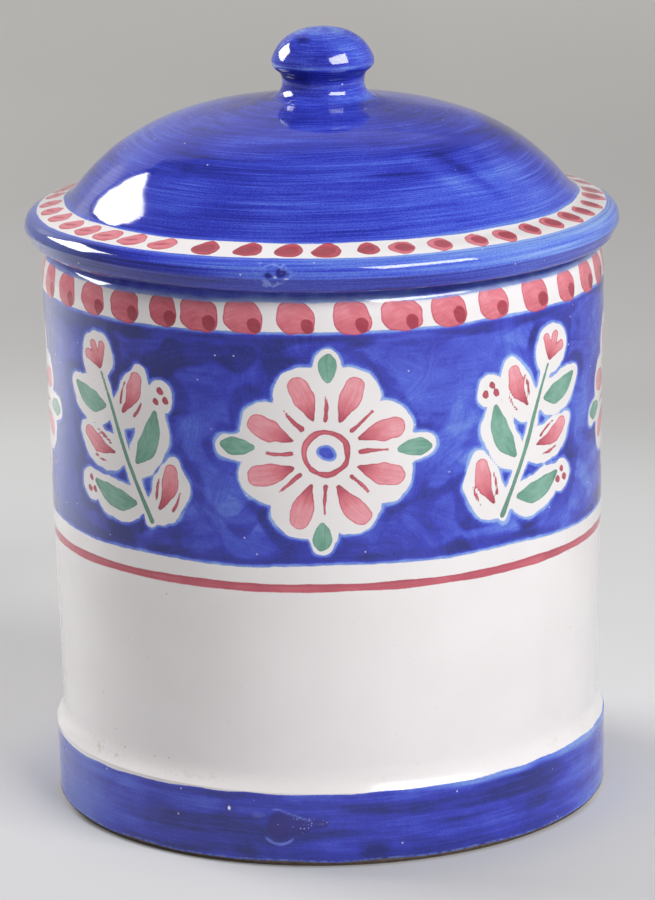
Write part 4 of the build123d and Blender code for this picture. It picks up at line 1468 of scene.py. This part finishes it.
def make_stage():
    radius, fillet, height = 3.2, 0.7, 3.0
    prof = [(0.0, 0.0), (0.3, 0.0), (0.8, 0.0), (1.6, 0.0), (radius - 0.2, 0.0)]
    prof += [(radius + fillet * math.sin(a), fillet - fillet * math.cos(a)) for a in np.linspace(0, PI / 2, 10)]
    prof += [(radius + fillet, height)]
    n = 96
    co, faces = [(0.0, 0.0, 0.0)], []
    for r, z in prof[1:]:
        co += [(r * math.cos(2 * PI * j / n), r * math.sin(2 * PI * j / n), z) for j in range(n)]
    for j in range(n):
        faces.append((0, 1 + j, 1 + (j + 1) % n))
    for i in range(len(prof) - 2):
        a, b = 1 + i * n, 1 + (i + 1) * n
        for j in range(n):
            k = (j + 1) % n
            faces.append((a + j, b + j, b + k, a + k))
    me = bpy.data.meshes.new("floor")
    me.from_pydata(co, [], faces)
    me.polygons.foreach_set("use_smooth", np.ones(len(me.polygons), bool))
    m = Mat("floor_paper")
    far = m.math("SQRT", m.add(m.mul(m.x, m.x), m.mul(m.y, m.y)))
    shade = m.ramp(m.mul(far, 0.5), FLOOR)
    # painted light on the paper: brighter on the left, where the left light spills on it, and a touch on the right
    spill = m.mad(m.x, -0.883, m.mul(m.y, 0.469))
    spill = m.step(m.math("DIVIDE", spill, m.math("MAXIMUM", far, 0.01)), 0.86, 0.96)
    spill = m.mul(spill, m.step(far, 0.31, 0.42), m.step(far, 0.55, 0.90, 0.82, 0.0))
    shade = m.mix(m.mul(m.step(m.x, 0.03, 0.10), m.step(far, 0.35, 0.60, 1.0, 0.0), 0.52), shade, (0.66, 0.66, 0.665))
    shade = m.mix(m.mul(m.step(m.x, 0.03, 0.10), m.step(far, 0.45, 0.65), 0.36), shade, (0.66, 0.645, 0.635))
    shade = m.mix(m.mul(m.step(m.x, -0.09, -0.05, 1.0, 0.0), m.step(far, 0.32, 0.24, 0.0, 1.0), m.step(m.y, -0.08, 0.07, 0.0, 0.92)), shade, (0.72, 0.71, 0.70))
    shade = m.mix(m.mul(m.step(m.x, -0.10, -0.05, 1.0, 0.0), m.step(m.y, 0.0, 0.08), m.step(far, 0.45, 0.70, 1.0, 0.0), 0.44),
                  shade, (0.66, 0.66, 0.66))
    shade = m.mix(spill, shade, (0.78, 0.78, 0.79))
    # deep shade in the gap where the foot meets the floor, widest on the left of the front
    gap = m.mul(m.step(far, 0.0908, 0.0930, 1.0, 0.0), m.mad(m.step(m.x, 0.03, -0.06), 0.42, 0.28),
                m.step(m.x, -0.089, -0.078), m.step(m.x, 0.089, 0.080))
    shade = m.mix(gap, shade, (0.02, 0.018, 0.016))
    # the upper part of the far wall is dim on the right and glows beside the left light
    dim = m.mul(m.step(m.z, 0.50, 1.10), m.step(m.x, -0.6, 0.4))
    shade = m.mix(m.mul(dim, 0.15), shade, (0.02, 0.02, 0.02))
    mottle = m.mix(m.step(m.noise(m.pos, 3.0, 2.0), 0.3, 0.7, 0.0, 0.05), shade, (0.6, 0.6, 0.6))
    rough = m.mad(m.noise(m.pos, 60.0, 2.0), 0.1, 0.82)
    # the far paper is lit on its own, up to the top of the wall
    m.put(m.bsdf.inputs["Emission Color"], (1.0, 0.975, 0.94))
    around_it = m.step(m.y, -1.2, 1.6, GLOW_FRONT, GLOW_BACK)
    strength = m.mul(m.step(far, 0.9, 2.1), around_it, m.mad(dim, -0.48, 1.0))

    def glow(x, y, z, inner, outer, power):
        d = m.vec(m.sub(m.x, x), m.sub(m.y, y), m.sub(m.z, z))
        n = m.t.nodes.new("ShaderNodeVectorMath")
        n.operation = "LENGTH"
        m.t.links.new(d, n.inputs[0])
        return m.step(n.outputs["Value"], inner, outer, power, 0.0)
    strength = m.add(strength, glow(-2.18, 3.23, 1.50, 0.25, 0.65, 0.50), glow(-1.60, 3.50, 2.30, 0.60, 1.80, 0.16),
                     glow(-0.50, 0.54, 0.0, 0.10, 0.34, 0.40))
    m.put(m.bsdf.inputs["Emission Strength"], strength)
    m.shader(mottle, rough, m.bump(m.noise(m.pos, 800.0, 2.0), 0.1, 0.0001), spec=0.2)
    me.materials.append(m.m)
    ob = bpy.data.objects.new("floor", me)
    bpy.context.scene.collection.objects.link(ob)
    return ob


def make_screen():
    """The far paper carried on upwards behind the jar, seen only as a soft reflection in the lid."""
    radius, a0, a1 = 3.9, math.radians(149), math.radians(213)
    cols, rows = 32, 12
    co = [(radius * math.sin(a0 + (a1 - a0) * j / cols), -radius * math.cos(a0 + (a1 - a0) * j / cols), 3.0 + 4.3 * i / rows)
          for i in range(rows + 1) for j in range(cols + 1)]
    w = cols + 1
    faces = [(i * w + j, i * w + j + 1, (i + 1) * w + j + 1, (i + 1) * w + j) for i in range(rows) for j in range(cols)]
    me = bpy.data.meshes.new("far_screen")
    me.from_pydata(co, [], faces)
    m = Mat("far_screen_paper")
    mottle = m.noise(m.pos, 2.0, 2.0)
    side = m.math("ARCTAN2", m.x, m.y)                    # positive on the right, 0 straight behind
    strength = m.mul(m.step(m.z, 3.0, 6.6, 0.45, 0.25), m.step(side, -0.576, -0.50), m.step(side, 0.30, 0.54, 1.0, 0.15))
    m.put(m.bsdf.inputs["Emission Color"], (1.0, 0.985, 0.96))
    m.put(m.bsdf.inputs["Emission Strength"], m.mul(strength, m.mad(mottle, 0.1, 0.95)))
    m.shader(m.ramp(mottle, [(0.3, (0.10, 0.10, 0.10)), (0.7, (0.12, 0.12, 0.12))]), m.mad(mottle, 0.1, 0.8),
             m.bump(mottle, 0.1, 0.001), spec=0.0)
    me.materials.append(m.m)
    ob = bpy.data.objects.new("far_screen", me)
    bpy.context.scene.collection.objects.link(ob)
    ob.visible_camera = False


def aim(az, el, dist, z0=0.12):
    a, e = math.radians(az), math.radians(el)
    d = Vector((math.sin(a) * math.cos(e), -math.cos(a) * math.cos(e), math.sin(e)))
    return Vector((0, 0, z0)) + d * dist, d


def softbox(name, az, el, dist, width, height, power, color=(1, 1, 1), z0=0.12):
    data = bpy.data.lights.new(name, "AREA")
    data.shape = "RECTANGLE"
    data.size, data.size_y = width, height
    data.energy = power
    data.color = color
    ob = bpy.data.objects.new(name, data)
    pos, d = aim(az, el, dist, z0)
    ob.location = pos
    ob.rotation_mode = "QUATERNION"
    ob.rotation_quaternion = d.to_track_quat("Z", "Y")
    bpy.context.scene.collection.objects.link(ob)
    ob.visible_camera = False
    return ob


def card(name, az, el, dist, width, height, z0=0.12):
    """A black panel behind a light, as its housing, seen only in reflections."""
    me = bpy.data.meshes.new(name)
    w, h = width / 2, height / 2
    me.from_pydata([(-w, -h, 0), (w, -h, 0), (w, h, 0), (-w, h, 0)], [], [(0, 1, 2, 3)])
    m = Mat(name)
    weave = m.noise(m.pos, 90.0, 2.0)
    m.shader(m.ramp(weave, [(0.3, (0.006, 0.006, 0.006)), (0.7, (0.012, 0.012, 0.012))]), m.mad(weave, 0.1, 0.8),
             m.bump(weave, 0.1, 0.001), spec=0.0)
    me.materials.append(m.m)
    ob = bpy.data.objects.new(name, me)
    pos, d = aim(az, el, dist, z0)
    ob.location = pos
    ob.rotation_mode = "QUATERNION"
    ob.rotation_quaternion = d.to_track_quat("Z", "Y")
    bpy.context.scene.collection.objects.link(ob)
    ob.visible_camera = False
    ob.visible_diffuse = False
    ob.visible_shadow = False


make_stage()
make_screen()
softbox("left_box", -119.3, 30.2, 1.5, 0.80, 0.535, 18.7)
card("left_housing", -119.8, 30.2, 1.53, 1.00, 0.68)
softbox("right_box", 43, 40, 1.6, 1.04, 0.62, 26.8)

world = bpy.data.worlds.new("studio")
world.use_nodes = True
world.node_tree.nodes["Background"].inputs[0].default_value = (0.96, 0.97, 1.0, 1.0)
world.node_tree.nodes["Background"].inputs[1].default_value = 0.12
bpy.context.scene.world = world

sc = bpy.context.scene
sc.view_settings.view_transform = "Standard"
sc.view_settings.look = "None"
sc.view_settings.exposure = 0.0
sc.view_settings.gamma = 1.0
